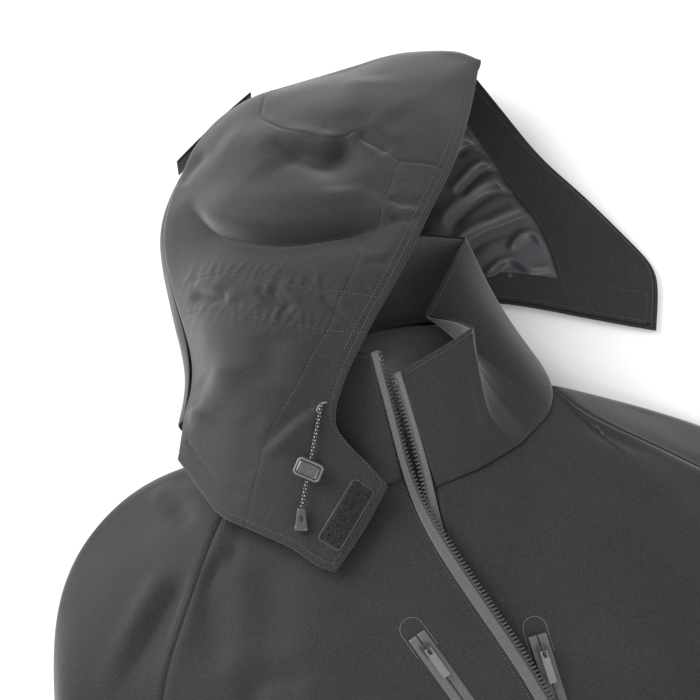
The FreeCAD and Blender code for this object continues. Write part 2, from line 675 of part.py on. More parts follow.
def garage(name, placement):
    """The welded arch round the closed end of a chest pocket zip."""
    body = doc.addObject("PartDesign::Body", f"{name}_zip_garage")
    sketch = body.newObject("Sketcher::SketchObject", f"{name}_zip_garage_outline")
    sketch.AttachmentSupport = [(plane_of(body, "XY_Plane"), "")]
    sketch.MapMode = "FlatFace"
    reach = dim("garage_long") - dim("garage_wide") / 2
    for radius in (dim("garage_wide") / 2, dim("garage_wide") / 2 - dim("garage_band")):
        circle = Part.Circle(V(-2, 0, 0), V(0, 0, 1), radius)
        sketch.addGeometry(Part.ArcOfCircle(circle, math.pi / 2, 3 * math.pi / 2), False)
        for sign in (-1, 1):
            sketch.addGeometry(Part.LineSegment(V(-2, sign * radius, 0), V(reach, sign * radius, 0)), False)
    outer, inner = dim("garage_wide") / 2, dim("garage_wide") / 2 - dim("garage_band")
    for sign in (-1, 1):
        sketch.addGeometry(Part.LineSegment(V(reach, sign * inner, 0), V(reach, sign * outer, 0)), False)
    pad = body.newObject("PartDesign::Pad", f"{name}_zip_garage_pad")
    pad.Profile = sketch
    bind(pad, Length="Dims.tape_thick")
    body.Placement = placement
    keep(body, f"{name}_zip_garage")


def pocket_bag(name, corner, size, height):
    """A pocket bag lying close under its front panel."""
    low = [(corner[0] + size[0] * i / 5, corner[1]) for i in range(6)]
    high = [(x, corner[1] + size[1]) for x, y in low]
    left = [(corner[0], corner[1] + size[1] * j / 5) for j in range(6)]
    right = [(corner[0] + size[0], y) for x, y in left]
    under = dim("cloth") + 2 * dim("layer_gap")
    grid = with_heights(coons(low, high, left, right), lambda x, y: height(x, y) - under)
    cloth_piece(name, grid, "bag_thick")


def pockets():
    bag = (dim("bag_wide"), dim("bag_long"))
    pocket_zip("right_chest", (-56, 158), (-26, 0), front_height, "pocket_zip_long", True)
    pocket_zip("left_chest", (20, 125), (-6, -33), left_front_height, "pocket_zip_long", True)
    pocket_bag("right_chest_pocket_bag", (-170, -35), (bag[0], bag[1]), front_height)
    pocket_bag("left_chest_pocket_bag", (-16, -70), (bag[0], bag[1]), left_front_height)
    pocket_zip("right_hand", (-150, -105), (-190, -270), front_height, "hand_zip_long", False)
    pocket_zip("left_hand", (150, -105), (190, -270), front_height, "hand_zip_long", False)
    pocket_bag("right_hand_pocket_bag", (-175, -320), (bag[0], bag[1]), front_height)
    pocket_bag("left_hand_pocket_bag", (57, -320), (bag[0], bag[1]), left_front_height)


# ---------------------------------------------------------------- hood
# The hood lies on its left side behind the collar, its face opening towards +X.
HOOD_FOLD = [(-153, 351, 44), (-137, 376, 46), (-121, 399, 48), (-112, 424, 50), (-105, 474, 50),
             (-96, 512, 50), (-77, 542, 50), (-44, 574, 48), (-20, 589, 46), (5, 597, 44),
             (28, 598, 44)]
HOOD_TOP = [(28, 598, 44), (56, 594, 44), (95, 589, 46), (125, 585, 48), (147, 578, 50), (173, 561, 58),
            (185, 542, 66)]
HOOD_RIM = [(-88, 219, 89), (-58, 237, 91), (-31, 257, 95), (-37, 275, 101), (-45, 294, 108), (-46, 310, 114),
            (-30, 330, 122), (2, 356, 130), (38, 383, 132), (78, 418, 126), (118, 455, 111), (151, 495, 90),
            (185, 542, 66)]
HOOD_HEM = [(-153, 351, 44), (-149, 325, 58), (-143, 294, 72), (-128, 272, 82), (-109, 248, 88),
            (-97, 228, 89), (-88, 219, 89)]
FAR_RIM = [(222, 303, 4), (248, 345, 5), (221, 425, 14), (203, 464, 20), (190, 511, 34), (180, 536, 48)]
FAR_HEM = [(-112, 400, 4), (-80, 408, 4), (0, 412, 4), (70, 408, 4), (118, 396, 4), (134, 380, 5),
           (152, 356, 6), (177, 337, 6), (222, 303, 4)]
FOLD_REACH = 28.0              # how far the centre panel wraps under the fold
HOOD_CROWN = 34.0              # how much fuller the upper side stands than its edges


def hood_upper_grid(columns=9, rows=16):
    low = resample(HOOD_HEM, columns)
    high = resample(HOOD_TOP, columns)
    left = resample(HOOD_FOLD, rows)
    right = resample(HOOD_RIM, rows)
    grid = coons(low, high, left, right)
    out = []
    for j, line in enumerate(grid):
        v = j / (rows - 1)
        fullness = HOOD_CROWN * min(1.0, 4.0 * (1.0 - v)) ** 0.6 * min(1.0, 0.1 + 4.0 * v)
        out.append([(x, y, z + fullness * math.sin(math.pi * (i / (columns - 1)) ** 0.85) ** 0.9)
                    for i, (x, y, z) in enumerate(line)])
    return out


def fold_line():
    """The fold from above the shoulder to the peak, with the outward direction in plan."""
    line = resample(HOOD_FOLD[1:] + HOOD_TOP[1:], 20)
    out = []
    for k, point in enumerate(line):
        a, b = line[max(k - 1, 0)], line[min(k + 1, len(line) - 1)]
        along = V(b[0] - a[0], b[1] - a[1], 0).normalize()
        out.append((V(*point), V(-along.y, along.x, 0)))
    return out


def under_edge(point, outward, share):
    """Where the centre panel ends under the fold."""
    reach = FOLD_REACH * (1.0 - 0.75 * smooth((share - 0.78) / 0.22))
    height = 3.6 + (point.z - 18.0 - 3.6) * smooth((share - 0.82) / 0.18)
    flat = V(point.x, point.y, height)
    return flat - outward * reach


def hood():
    upper = hood_upper_grid()
    facing_up = turned(upper) if grid_normals(upper)[8][4].z < 0 else upper
    cloth_piece("hood_right_panel", facing_up, "cloth")
    lining_depth = dim("cloth") + 3.6
    cloth_piece("hood_right_lining", shifted(inset(facing_up, 0.02, 0.02, 0.03, 0.03), -lining_depth),
                "lining_cloth")
    stiffener = inset(upper, 0.70, 0.04, 0.74, 0.03)
    stiffener = turned(stiffener) if grid_normals(stiffener)[8][4].z < 0 else stiffener
    cloth_piece("hood_brim_stiffener", shifted(stiffener, -(dim("cloth") + 1.6)), "lining_cloth")

    fold = fold_line()
    wrap = []
    for k, (point, outward) in enumerate(fold):
        share = k / (len(fold) - 1)
        under = under_edge(point, outward, share)
        bulge = 7.0 * (1.0 - 0.6 * share)
        top = point - V(0, 0, 1.2) + outward * 0.8
        span = top.z - under.z
        wrap.append([tuple(p) for p in (
            top,
            V(point.x, point.y, top.z - 0.25 * span) + outward * bulge,
            V(point.x, point.y, top.z - 0.65 * span) + outward * bulge,
            V(point.x, point.y, under.z) + outward * 1.0,
            under)])
    outside = grid_normals(wrap)[10][2].dot(fold[10][1]) > 0
    cloth_piece("hood_centre_panel", wrap if outside else turned(wrap), "cloth")

    inner_edge = [tuple(under_edge(p, o, k / (len(fold) - 1)) - o * 1.2) for k, (p, o) in enumerate(fold)]
    corner = 13
    left = resample(inner_edge[:corner], 12)
    high = resample(inner_edge[corner - 1:-1] + [FAR_RIM[-1]], 8)
    hem = [inner_edge[0]] + FAR_HEM[1:]
    lower = coons(resample(hem, 8), high, left, resample(FAR_RIM, 12))
    lower = turned(lower) if grid_normals(lower)[5][4].z < 0 else lower
    cloth_piece("hood_left_panel", lower, "cloth")
    inside = inset(lower, 0.02, 0.03, 0.03, 0.03)
    cloth_piece("hood_left_lining", shifted(inside, dim("layer_gap") + dim("lining_cloth")), "lining_cloth")
    hood_hardware(pole_surface(facing_up).toShape())
    back_tab(fold)


def height_on(face, x, y):
    """Height of a surface at a plan point."""
    probe = Part.makeLine(V(x, y, -20), V(x, y, 260))
    return face.distToShape(probe)[1][0][0].z


def surface_turn(face, x, y, along):
    """Rotation that lies on the surface with its X axis along a plan direction."""
    step = 4.0
    a = V(x, y, height_on(face, x, y))
    b = V(x + step, y, height_on(face, x + step, y))
    c = V(x, y + step, height_on(face, x, y + step))
    normal = (b - a).cross(c - a).normalize()
    flat = V(along[0], along[1], 0)
    lengthwise = (flat - normal * flat.dot(normal)).normalize()
    return a, normal, FreeCAD.Rotation(lengthwise, normal.cross(lengthwise), normal, "XYZ")


EYELET = (-50.6, 322.5)
CORD_TURN = (-60.5, 308)        # the cord straightens here and then runs straight to its end
CORD_END = (-91.4, 266.4)
LOCK_PLACE = 0.51              # share of the straight run at which the cordlock sits
CORD_LIFT = 3.9                # height of the cord's centreline over the cloth at the lock


def hood_hardware(face):
    at, normal, turn = surface_turn(face, -65.3, 250, (-0.82, -0.57))
    rounded_bar("hood_hook_patch", "hook_patch_long", "hook_patch_wide", "hook_patch_thick", 3.5,
                FreeCAD.Placement(at + normal * 1.2, turn))
    at, normal, turn = surface_turn(face, EYELET[0], EYELET[1], (1, 0))
    eyelet_at = at + normal * 0.35
    ring = doc.addObject("Part::Cylinder", "drawcord_eyelet_ring")
    bind(ring, Radius="Dims.eyelet_outer", Height="Dims.eyelet_thick")
    hole = doc.addObject("Part::Cylinder", "drawcord_eyelet_hole")
    bind(hole, Radius="Dims.eyelet_inner", Height="Dims.eyelet_thick + 2")
    hole.Placement = FreeCAD.Placement(V(0, 0, -1), FreeCAD.Rotation())
    eyelet = boolean("Cut", "drawcord_eyelet", ring, hole)
    eyelet.Placement = FreeCAD.Placement(eyelet_at, turn)
    keep(eyelet, "drawcord_eyelet")

    start = eyelet_at + normal * 0.2
    bend = V(*CORD_TURN, height_on(face, *CORD_TURN) + 3.4)
    end = V(*CORD_END, height_on(face, *CORD_END) + 5.3)
    run = (end - bend).normalize()
    lock_at = bend + (end - bend) * LOCK_PLACE
    cloth_at_lock = height_on(face, lock_at.x, lock_at.y)
    lift = max(0.0, cloth_at_lock + CORD_LIFT - lock_at.z)
    bend, end, lock_at = bend + V(0, 0, lift), end + V(0, 0, lift), lock_at + V(0, 0, lift)
    drawcord([start, bend, end])
    cordlock(lock_at, run, face)
    cord_end(end, run)


def drawcord(route):
    """The free cord: straight runs joined by one tangent arc."""
    a, b, c = route
    before, after = (b - a), (c - b)
    turn = before.getAngle(after)
    radius = 0.45 * min(before.Length, after.Length) / math.tan(turn / 2)
    cut = radius * math.tan(turn / 2)
    arc_in = b - V(before).normalize() * cut
    arc_out = b + V(after).normalize() * cut
    bisector = (V(after).normalize() - V(before).normalize()).normalize()
    centre = b + bisector * (radius / math.cos(turn / 2))
    middle = centre - bisector * radius
    path = Part.Wire([Part.LineSegment(a, arc_in).toShape(), Part.Arc(arc_in, middle, arc_out).toShape(),
                      Part.LineSegment(arc_out, c).toShape()])
    section = Part.Wire([Part.Circle(a, before, dim("cord_diameter") / 2).toShape()])
    tube = path.makePipeShell([section], True, True)
    expected = path.Length * math.pi * dim("cord_diameter")**2 / 4
    print(f"drawcord: length {path.Length:.1f} mm, radius {radius:.0f} mm, turn {math.degrees(turn):.0f} deg, "
          f"volume {tube.Volume:.0f} of {expected:.0f}")
    print("drawcord route", [tuple(round(k, 2) for k in p) for p in route])
    piece = doc.addObject("Part::Feature", "drawcord")
    piece.Shape = tube
    piece.Placement = FreeCAD.Placement()
    keep(piece, "drawcord")


def cordlock(at, run, face):
    """Cordlock: a frame with a window, a button that is pressed into it, and the spring under the button."""
    normal = surface_turn(face, at.x, at.y, (run.x, run.y))[1]
    across = normal.cross(run).normalize()
    turn = FreeCAD.Rotation(across, normal.cross(across), normal, "XYZ")
    floor_at = at - normal * (CORD_LIFT - 0.5)
    flat = FreeCAD.Placement(floor_at, turn)
    wide, long, wall = "Dims.lock_wide", "Dims.lock_long", "Dims.lock_wall"
    block = primitive("cordlock_block", wide, long, "Dims.lock_tall", f"-{wide} / 2", f"-{long} / 2", "0")
    window = primitive("cordlock_window", f"{wide} - 2 * {wall}", f"{long} - 2 * {wall}", "Dims.lock_tall",
                       f"-{wide} / 2 + {wall}", f"-{long} / 2 + {wall}", "Dims.lock_floor")
    tunnel = doc.addObject("Part::Cylinder", "cordlock_tunnel")
    bind(tunnel, Radius="Dims.cord_diameter / 2 + 0.4", Height=f"3 * {long}")
    reach = 1.5 * dim("lock_long")
    local_run = turn.inverted().multVec(run)
    local_at = V(0, 0, CORD_LIFT - 0.5)
    along_cord = FreeCAD.Rotation(V(0, 0, 1), local_run)
    tunnel.Placement = FreeCAD.Placement(local_at - local_run * reach, along_cord)
    body = boolean("Cut", "cordlock_body", boolean("Cut", "cordlock_frame", block, window), tunnel)
    body.Placement = flat
    keep(body, "cordlock_body")

    gap = "Dims.button_gap"
    button = doc.addObject("Part::Box", "cordlock_button")
    bind(button, Length=f"{wide} - 2 * {wall} - 2 * {gap}", Width=f"{long} - 2 * {wall} - 2 * {gap}",
         Height="Dims.button_tall")
    inner = dim("lock_wall") + dim("button_gap")
    bottom = dim("lock_tall") + dim("button_proud") - dim("button_tall")
    corner = V(-dim("lock_wide") / 2 + inner, -dim("lock_long") / 2 + inner, bottom)
    button.Placement = FreeCAD.Placement(flat.multVec(corner), turn)
    keep(button, "cordlock_button")

    clear = 0.1
    height = bottom - dim("lock_floor") - 2 * clear
    helix = Part.makeHelix(height / 4, height - dim("spring_wire"), dim("spring_radius"))
    wire = Part.Wire(helix.Edges)
    wire_circle = Part.Circle(V(dim("spring_radius"), 0, 0), V(0, 1, 0), dim("spring_wire") / 2)
    section = Part.Wire([wire_circle.toShape()])
    spring = wire.makePipeShell([section], True, True)
    side = V(4.7, 0, dim("lock_floor") + clear + dim("spring_wire") / 2)
    piece = doc.addObject("Part::Feature", "cordlock_spring")
    piece.Shape = spring
    piece.Placement = FreeCAD.Placement(flat.multVec(side), turn)
    keep(piece, "cordlock_spring")
    print("cordlock at", tuple(at), "slides along", tuple(run), "button axis", tuple(normal * -1),
          "spring foot z", flat.multVec(side).z)


def cord_end(at, run):
    """The moulded end of the cord: a block that widens towards its lip."""
    body = doc.addObject("PartDesign::Body", "cord_end")
    sketch = body.newObject("Sketcher::SketchObject", "cord_end_outline")
    sketch.AttachmentSupport = [(plane_of(body, "XY_Plane"), "")]
    sketch.MapMode = "FlatFace"
    long, wide = dim("cord_end_long"), dim("cord_end_wide")
    corners = [V(0, -wide * 0.30, 0), V(long, -wide * 0.5, 0), V(long, wide * 0.5, 0), V(0, wide * 0.30, 0)]
    for a, b in zip(corners, corners[1:] + corners[:1]):
        sketch.addGeometry(Part.LineSegment(a, b), False)
    pad = body.newObject("PartDesign::Pad", "cord_end_pad")
    pad.Profile = sketch
    pad.Midplane = True
    bind(pad, Length="Dims.cord_end_tall")
    doc.recompute()
    rounding = body.newObject("PartDesign::Fillet", "cord_end_round")
    lengthwise = [f"Edge{n}" for n, edge in enumerate(pad.Shape.Edges, start=1)
                  if abs(edge.tangentAt(edge.FirstParameter).z) < 0.1
                  and abs(edge.tangentAt(edge.FirstParameter).x) > 0.5]
    rounding.Base = (pad, lengthwise)
    rounding.Radius = 1.2
    across = V(0, 0, 1).cross(run).normalize()
    turn = FreeCAD.Rotation(run, across, run.cross(across), "XYZ")
    body.Placement = FreeCAD.Placement(at + run * 0.02, turn)
    keep(body, "cord_end")


TAB_CLEARANCE = 4.6            # how far the strap stands off the fold


def back_tab(fold):
    """The volume strap at the back of the head, on edge against the centre panel and sewn to it at one end."""
    point, outward = fold[10]
    along = V(-outward.y, outward.x, 0)
    up = V(0, 0, 1)
    turn = FreeCAD.Rotation(along, up, outward, "XYZ")
    at = V(point.x, point.y, 27.0) + outward * TAB_CLEARANCE
    rounded_bar("hood_back_tab", "back_tab_long", "back_tab_wide", "tab_thick", 6.0,
                FreeCAD.Placement(at, turn))
    print("hood tab sewn end", tuple(at - along * (dim("back_tab_long") / 2)), "axis", tuple(-up))


# ---------------------------------------------------------------- build, check and write
body_panels()
sleeves()
collar()
front_zip()
pockets()
hood()
doc.recompute()

faults = [o.Label for o in doc.Objects if "Invalid" in o.State or "Error" in o.State]
if faults:
    raise RuntimeError(f"objects that failed to recompute: {faults}")
for piece in finished:
    if piece.Shape.isNull() or not piece.Shape.isValid():
        raise RuntimeError(f"{piece.Label} has no valid shape")
    piece.Shape.exportStep(os.path.join("parts", f"{piece.Label}.step"))
    print(f"{piece.Label:28s} {piece.Shape.Volume / 1000:9.2f} cm3  solids {len(piece.Shape.Solids)}")
print(len(finished), "sub-parts written")
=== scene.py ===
import bmesh
import bpy
import math
import random
import numpy as np
from mathutils import Matrix, Vector, noise
from mathutils.bvhtree import BVHTree


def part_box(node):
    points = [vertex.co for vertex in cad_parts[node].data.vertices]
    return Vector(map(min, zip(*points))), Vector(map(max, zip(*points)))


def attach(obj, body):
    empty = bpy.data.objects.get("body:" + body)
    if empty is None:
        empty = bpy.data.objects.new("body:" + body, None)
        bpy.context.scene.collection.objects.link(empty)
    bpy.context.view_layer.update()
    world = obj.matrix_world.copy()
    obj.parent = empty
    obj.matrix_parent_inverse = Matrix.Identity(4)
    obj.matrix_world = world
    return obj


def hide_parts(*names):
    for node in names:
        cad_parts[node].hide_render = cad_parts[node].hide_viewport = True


# Looks of a lined hardshell jacket that lies on its back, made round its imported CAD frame.
# Point lists and sizes are in millimetres, as in the CAD source; MM turns them into metres.
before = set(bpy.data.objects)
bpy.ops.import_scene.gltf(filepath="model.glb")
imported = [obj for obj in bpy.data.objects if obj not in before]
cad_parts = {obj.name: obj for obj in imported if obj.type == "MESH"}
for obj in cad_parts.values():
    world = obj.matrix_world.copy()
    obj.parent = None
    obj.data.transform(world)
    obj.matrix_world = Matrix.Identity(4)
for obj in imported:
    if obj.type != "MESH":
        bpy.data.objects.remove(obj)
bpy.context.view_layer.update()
MM = 0.001
SEED = 7
random.seed(SEED)
SHELL_THICK, LINING_THICK, BACK_THICK = 1.0, 0.6, 1.4


# ------------------------------------------------ numbers, lines and surfaces
def smooth(t):
    """0 to 1 with flat ends, for numbers or arrays."""
    t = np.clip(t, 0.0, 1.0)
    return t * t * (3.0 - 2.0 * t)


def bell(distance, width):
    return np.exp(-(distance / width) ** 2)


def along(line, shares):
    """Points of a polyline at the given shares of its length."""
    line = np.array(line, float)
    steps = np.linalg.norm(np.diff(line, axis=0), axis=1)
    length = np.concatenate([[0], np.cumsum(steps)])
    want = np.asarray(shares) * length[-1]
    return np.stack([np.interp(want, length, line[:, k]) for k in range(line.shape[1])], axis=1)


def resample(line, count):
    return along(line, np.linspace(0, 1, count))


def catmull(points, count=24):
    """A smooth line through points, with count samples from each to the next."""
    p = np.array(points, float)
    ends = np.vstack([2 * p[0] - p[1], p, 2 * p[-1] - p[-2]])
    out = []
    for k in range(1, len(ends) - 2):
        a, b, c, d = ends[k - 1:k + 3]
        t = np.linspace(0, 1, count, endpoint=False)[:, None]
        out.append(0.5 * (2 * b + (c - a) * t + (2 * a - 5 * b + 4 * c - d) * t**2
                          + (3 * b - a - 3 * c + d) * t**3))
    return np.vstack(out + [p[-1:]])


def curve(points, corners=(), count=24):
    """A line through points, smooth but for the listed corners."""
    points = list(points)
    cuts = [0] + sorted(corners) + [len(points) - 1]
    parts = [catmull(points[a:b + 1], count) for a, b in zip(cuts, cuts[1:]) if b > a]
    return np.vstack([parts[0]] + [part[1:] for part in parts[1:]])


def coons(low, high, left, right):
    """Grid filling four boundary lines. low and high run left to right, left and right low to high."""
    u = np.linspace(0, 1, len(low))[None, :, None]
    v = np.linspace(0, 1, len(left))[:, None, None]
    ruled_v = (1 - v) * low[None] + v * high[None]
    ruled_u = (1 - u) * left[:, None] + u * right[:, None]
    corners = (1 - u) * (1 - v) * low[0] + u * (1 - v) * low[-1] + (1 - u) * v * high[0] + u * v * high[-1]
    return ruled_v + ruled_u - corners


def spline_weights(poles, samples):
    """Weights of a clamped uniform B-spline of degree 3, or less where the poles are few."""
    degree = min(3, poles - 1)
    inner = poles - degree - 1
    knots = np.concatenate([np.zeros(degree), np.linspace(0, 1, inner + 2), np.ones(degree)])
    t = np.clip(np.asarray(samples, float), 0, 1 - 1e-9)[:, None]
    basis = ((t >= knots[:-1]) & (t < knots[1:])).astype(float)
    for d in range(1, degree + 1):
        span_left = knots[d:-1] - knots[:-d - 1]
        span_right = knots[d + 1:] - knots[1:-d]
        rise = (t - knots[:-d - 1]) / np.where(span_left > 0, span_left, 1) * (span_left > 0)
        drop = (knots[d + 1:] - t) / np.where(span_right > 0, span_right, 1) * (span_right > 0)
        basis = rise * basis[:, :-1] + drop * basis[:, 1:]
    return basis


def skin(poles, rows, columns):
    """The smooth surface that the CAD makes from the same net of poles, sampled finely."""
    poles = np.array(poles, float)
    rows = np.linspace(0, 1, rows) if isinstance(rows, int) else rows
    columns = np.linspace(0, 1, columns) if isinstance(columns, int) else columns
    return np.einsum("ri,ijk,cj->rck", spline_weights(poles.shape[0], rows), poles,
                     spline_weights(poles.shape[1], columns))


def grid_normals(grid):
    n = np.cross(np.gradient(grid, axis=1), np.gradient(grid, axis=0))
    return n / np.maximum(np.linalg.norm(n, axis=2, keepdims=True), 1e-12)


def wound(grid, direction):
    """The grid with its columns turned round where needed, so that its normals look along a direction."""
    mean = grid_normals(grid).mean(axis=(0, 1))
    return grid if mean @ np.array(direction, float) > 0 else grid[:, ::-1]


def lifted(grid, distance):
    """The grid moved along its own normals by a number or an array of distances."""
    distance = np.broadcast_to(distance, grid.shape[:2])
    return grid + grid_normals(grid) * distance[..., None]


def edged(grid, low=None, high=None, left=None, right=None, reach=0.12):
    """The grid with its sides pulled onto exact lines, fading inwards over a share of the grid."""
    grid = grid.copy()
    rows, columns = grid.shape[:2]
    fade_v = 1 - smooth(np.linspace(0, 1, rows) / reach)
    fade_u = 1 - smooth(np.linspace(0, 1, columns) / reach)
    if left is not None:
        grid += (resample(left, rows) - grid[:, 0])[:, None] * fade_u[None, :, None]
    if right is not None:
        grid += (resample(right, rows) - grid[:, -1])[:, None] * fade_u[::-1][None, :, None]
    if low is not None:
        grid += (resample(low, columns) - grid[0])[None] * fade_v[:, None, None]
    if high is not None:
        grid += (resample(high, columns) - grid[-1])[None] * fade_v[::-1][:, None, None]
    return grid


def turned_to(grid, side):
    """A view of a grid whose rows start at the named side."""
    return {"low": grid, "high": grid[::-1], "left": grid.transpose(1, 0, 2),
            "right": grid[:, ::-1].transpose(1, 0, 2)}[side]


def edge_distance(grid, sides):
    """Distance in millimetres of every grid point to the nearest of the named sides."""
    best = np.full(grid.shape[:2], 1e9)
    for side in sides:
        part = turned_to(grid, side)
        steps = np.linalg.norm(np.diff(part, axis=0), axis=2)
        distance = np.concatenate([np.zeros((1, part.shape[1])), np.cumsum(steps, axis=0)])
        distance = {"low": distance, "high": distance[::-1], "left": distance.T,
                    "right": distance.T[:, ::-1]}[side]
        best = np.minimum(best, distance)
    return best


# ------------------------------------------------ folds of lying cloth, drawn in plan
def line_distance(x, y, path):
    """Distance of every point to a plan line, the side it lies on, and its share along the line."""
    path = catmull(path, 6) if len(path) > 2 else np.array(path, float)
    best = np.full(x.shape, 1e9)
    side = np.zeros(x.shape)
    share = np.zeros(x.shape)
    count = len(path) - 1
    for k in range(count):
        a, d = path[k], path[k + 1] - path[k]
        t = np.clip(((x - a[0]) * d[0] + (y - a[1]) * d[1]) / max(d @ d, 1e-9), 0, 1)
        px, py = x - a[0] - t * d[0], y - a[1] - t * d[1]
        distance = np.hypot(px, py)
        near = distance < best
        best = np.where(near, distance, best)
        side = np.where(near, np.sign(d[0] * py - d[1] * px), side)
        share = np.where(near, (k + t) / count, share)
    return best, side, share


def end_fade(share, ends):
    """1 along a line, falling to 0 over a share of it at each end."""
    return smooth(share / ends[0]) * smooth((1 - share) / ends[1])


def fold(grid, path, depth, width, bank=0.0, spread=1.0, ends=(0.25, 0.25)):
    """Height of a valley along a plan line, with a raised bank on its left. A negative depth is a ridge.

    The right side of the valley is spread times as wide as the left one.
    """
    distance, side, share = line_distance(grid[..., 0], grid[..., 1], path)
    offset = distance * side
    reach = np.where(offset < 0, spread * width, width)
    height = bank * bell(offset - 2.0 * width, 1.3 * width) - depth * bell(distance, reach)
    return height * end_fade(share, ends)


def crease(grid, path, depth, width, ends=(0.3, 0.3)):
    """A sharp-bottomed valley: the sides run straight into the line."""
    distance, _, share = line_distance(grid[..., 0], grid[..., 1], path)
    return -depth * np.exp(-distance / width) * end_fade(share, ends)


def waves(grid, size, height, layer):
    """Soft seeded unevenness: size is the width of one wave, height its swing."""
    flat = grid.reshape(-1, 3) / size
    out = [noise.noise(Vector((p[0], p[1], p[2] * 0.5 + layer * 7.3))) for p in flat]
    return height * np.array(out).reshape(grid.shape[:2])


def groove(grid, path, depth=0.35, width=0.9):
    """The shallow channel that a row of stitches pulls into cloth."""
    distance = line_distance(grid[..., 0], grid[..., 1], path)[0]
    return -depth * bell(distance, width)
# ------------------------------------------------ materials
def new_material(name):
    material = bpy.data.materials.new(name)
    material.use_nodes = True
    tree = material.node_tree
    shader = tree.nodes["Principled BSDF"]
    return material, tree, shader


def node(tree, kind, **values):
    made = tree.nodes.new(kind)
    for key, value in values.items():
        if key in made.inputs:
            made.inputs[key].default_value = value
        else:
            setattr(made, key, value)
    return made


def link(tree, start, end):
    tree.links.new(start, end)


def object_coordinates(tree, scale=1.0, stretch=(1, 1, 1)):
    place = node(tree, "ShaderNodeTexCoord")
    mapping = node(tree, "ShaderNodeMapping")
    mapping.inputs["Scale"].default_value = tuple(scale * s for s in stretch)
    link(tree, place.outputs["Object"], mapping.inputs["Vector"])
    return mapping.outputs["Vector"]


def ramp(tree, source, low, high, start=0.0, end=1.0):
    made = node(tree, "ShaderNodeValToRGB")
    made.color_ramp.elements[0].position = start
    made.color_ramp.elements[1].position = end
    made.color_ramp.elements[0].color = (*low, 1)
    made.color_ramp.elements[1].color = (*high, 1)
    link(tree, source, made.inputs["Fac"])
    return made.outputs["Color"]


def mixed(tree, kind, factor, a, b):
    made = node(tree, "ShaderNodeMix", data_type="RGBA", blend_type=kind)
    made.inputs["Factor"].default_value = factor
    link(tree, a, made.inputs[6])
    link(tree, b, made.inputs[7])
    return made.outputs[2]


def bumped(tree, shader, height, strength, distance):
    bump = node(tree, "ShaderNodeBump", Strength=strength, Distance=distance)
    link(tree, height, bump.inputs["Height"])
    link(tree, bump.outputs["Normal"], shader.inputs["Normal"])
    return bump


def weave(tree, per_metre):
    """Height of a plain weave: warp and weft threads crossing."""
    vector = object_coordinates(tree, per_metre)
    parts = node(tree, "ShaderNodeSeparateXYZ")
    link(tree, vector, parts.inputs[0])
    threads = []
    for axis in ("X", "Y"):
        sine = node(tree, "ShaderNodeMath", operation="SINE")
        link(tree, parts.outputs[axis], sine.inputs[0])
        threads.append(sine.outputs[0])
    product = node(tree, "ShaderNodeMath", operation="MULTIPLY")
    link(tree, threads[0], product.inputs[0])
    link(tree, threads[1], product.inputs[1])
    return product.outputs[0]


def cloth_material(name, dark, light, rough, sheen, threads, bump_depth, grain=0.5):
    """Woven cloth: thread relief, fine grain of lighter and darker yarns, and slow changes of tone."""
    material, tree, shader = new_material(name)
    fine = node(tree, "ShaderNodeTexNoise", Scale=850.0, Detail=4.0, Roughness=0.8)
    link(tree, object_coordinates(tree), fine.inputs["Vector"])
    slow = node(tree, "ShaderNodeTexNoise", Scale=14.0, Detail=4.0, Roughness=0.55)
    link(tree, object_coordinates(tree), slow.inputs["Vector"])
    yarn = ramp(tree, fine.outputs["Fac"], dark, light, 0.5 - grain * 0.3, 0.5 + grain * 0.3)
    tone = ramp(tree, slow.outputs["Fac"], (0.86, 0.86, 0.86), (1.12, 1.12, 1.12), 0.3, 0.7)
    link(tree, mixed(tree, "MULTIPLY", 1.0, yarn, tone), shader.inputs["Base Color"])
    height = node(tree, "ShaderNodeMath", operation="MULTIPLY_ADD")
    link(tree, weave(tree, threads), height.inputs[0])
    height.inputs[1].default_value = 0.5
    link(tree, fine.outputs["Fac"], height.inputs[2])
    bumped(tree, shader, height.outputs[0], 0.35, bump_depth)
    gloss = ramp(tree, fine.outputs["Fac"], (rough - 0.05,) * 3, (rough + 0.06,) * 3)
    link(tree, gloss, shader.inputs["Roughness"])
    shader.inputs["Specular IOR Level"].default_value = 0.25
    shader.inputs["Sheen Weight"].default_value = sheen
    shader.inputs["Sheen Roughness"].default_value = 0.45
    return material


SHELL = cloth_material("shell_cloth", (0.0070, 0.0068, 0.0070), (0.0262, 0.0258, 0.0262), 0.70, 0.32, 5200.0,
                       0.00012)
# Painted light: the collar fleece takes its own grey raised well above its real tone, so the inside of the
# collar, which its walls shade, looks lit.
FLEECE_PAINTED_LIGHT = cloth_material("collar_fleece", (0.075, 0.074, 0.075), (0.150, 0.148, 0.150), 0.95, 0.65, 3000.0,
                        0.0003)
BAG = cloth_material("pocket_mesh", (0.016, 0.016, 0.017), (0.030, 0.030, 0.031), 0.85, 0.1, 2500.0, 0.0002)


def satin_material(name, dark, light):
    """Smooth lining with a soft directional shine and fine ribs."""
    material, tree, shader = new_material(name)
    slow = node(tree, "ShaderNodeTexNoise", Scale=20.0, Detail=3.0)
    link(tree, object_coordinates(tree), slow.inputs["Vector"])
    link(tree, ramp(tree, slow.outputs["Fac"], dark, light, 0.3, 0.7), shader.inputs["Base Color"])
    bumped(tree, shader, weave(tree, 6500.0), 0.15, 0.00008)
    shader.inputs["Roughness"].default_value = 0.50
    shader.inputs["Specular IOR Level"].default_value = 0.6
    shader.inputs["Anisotropic"].default_value = 0.4
    shader.inputs["Sheen Weight"].default_value = 0.15
    return material


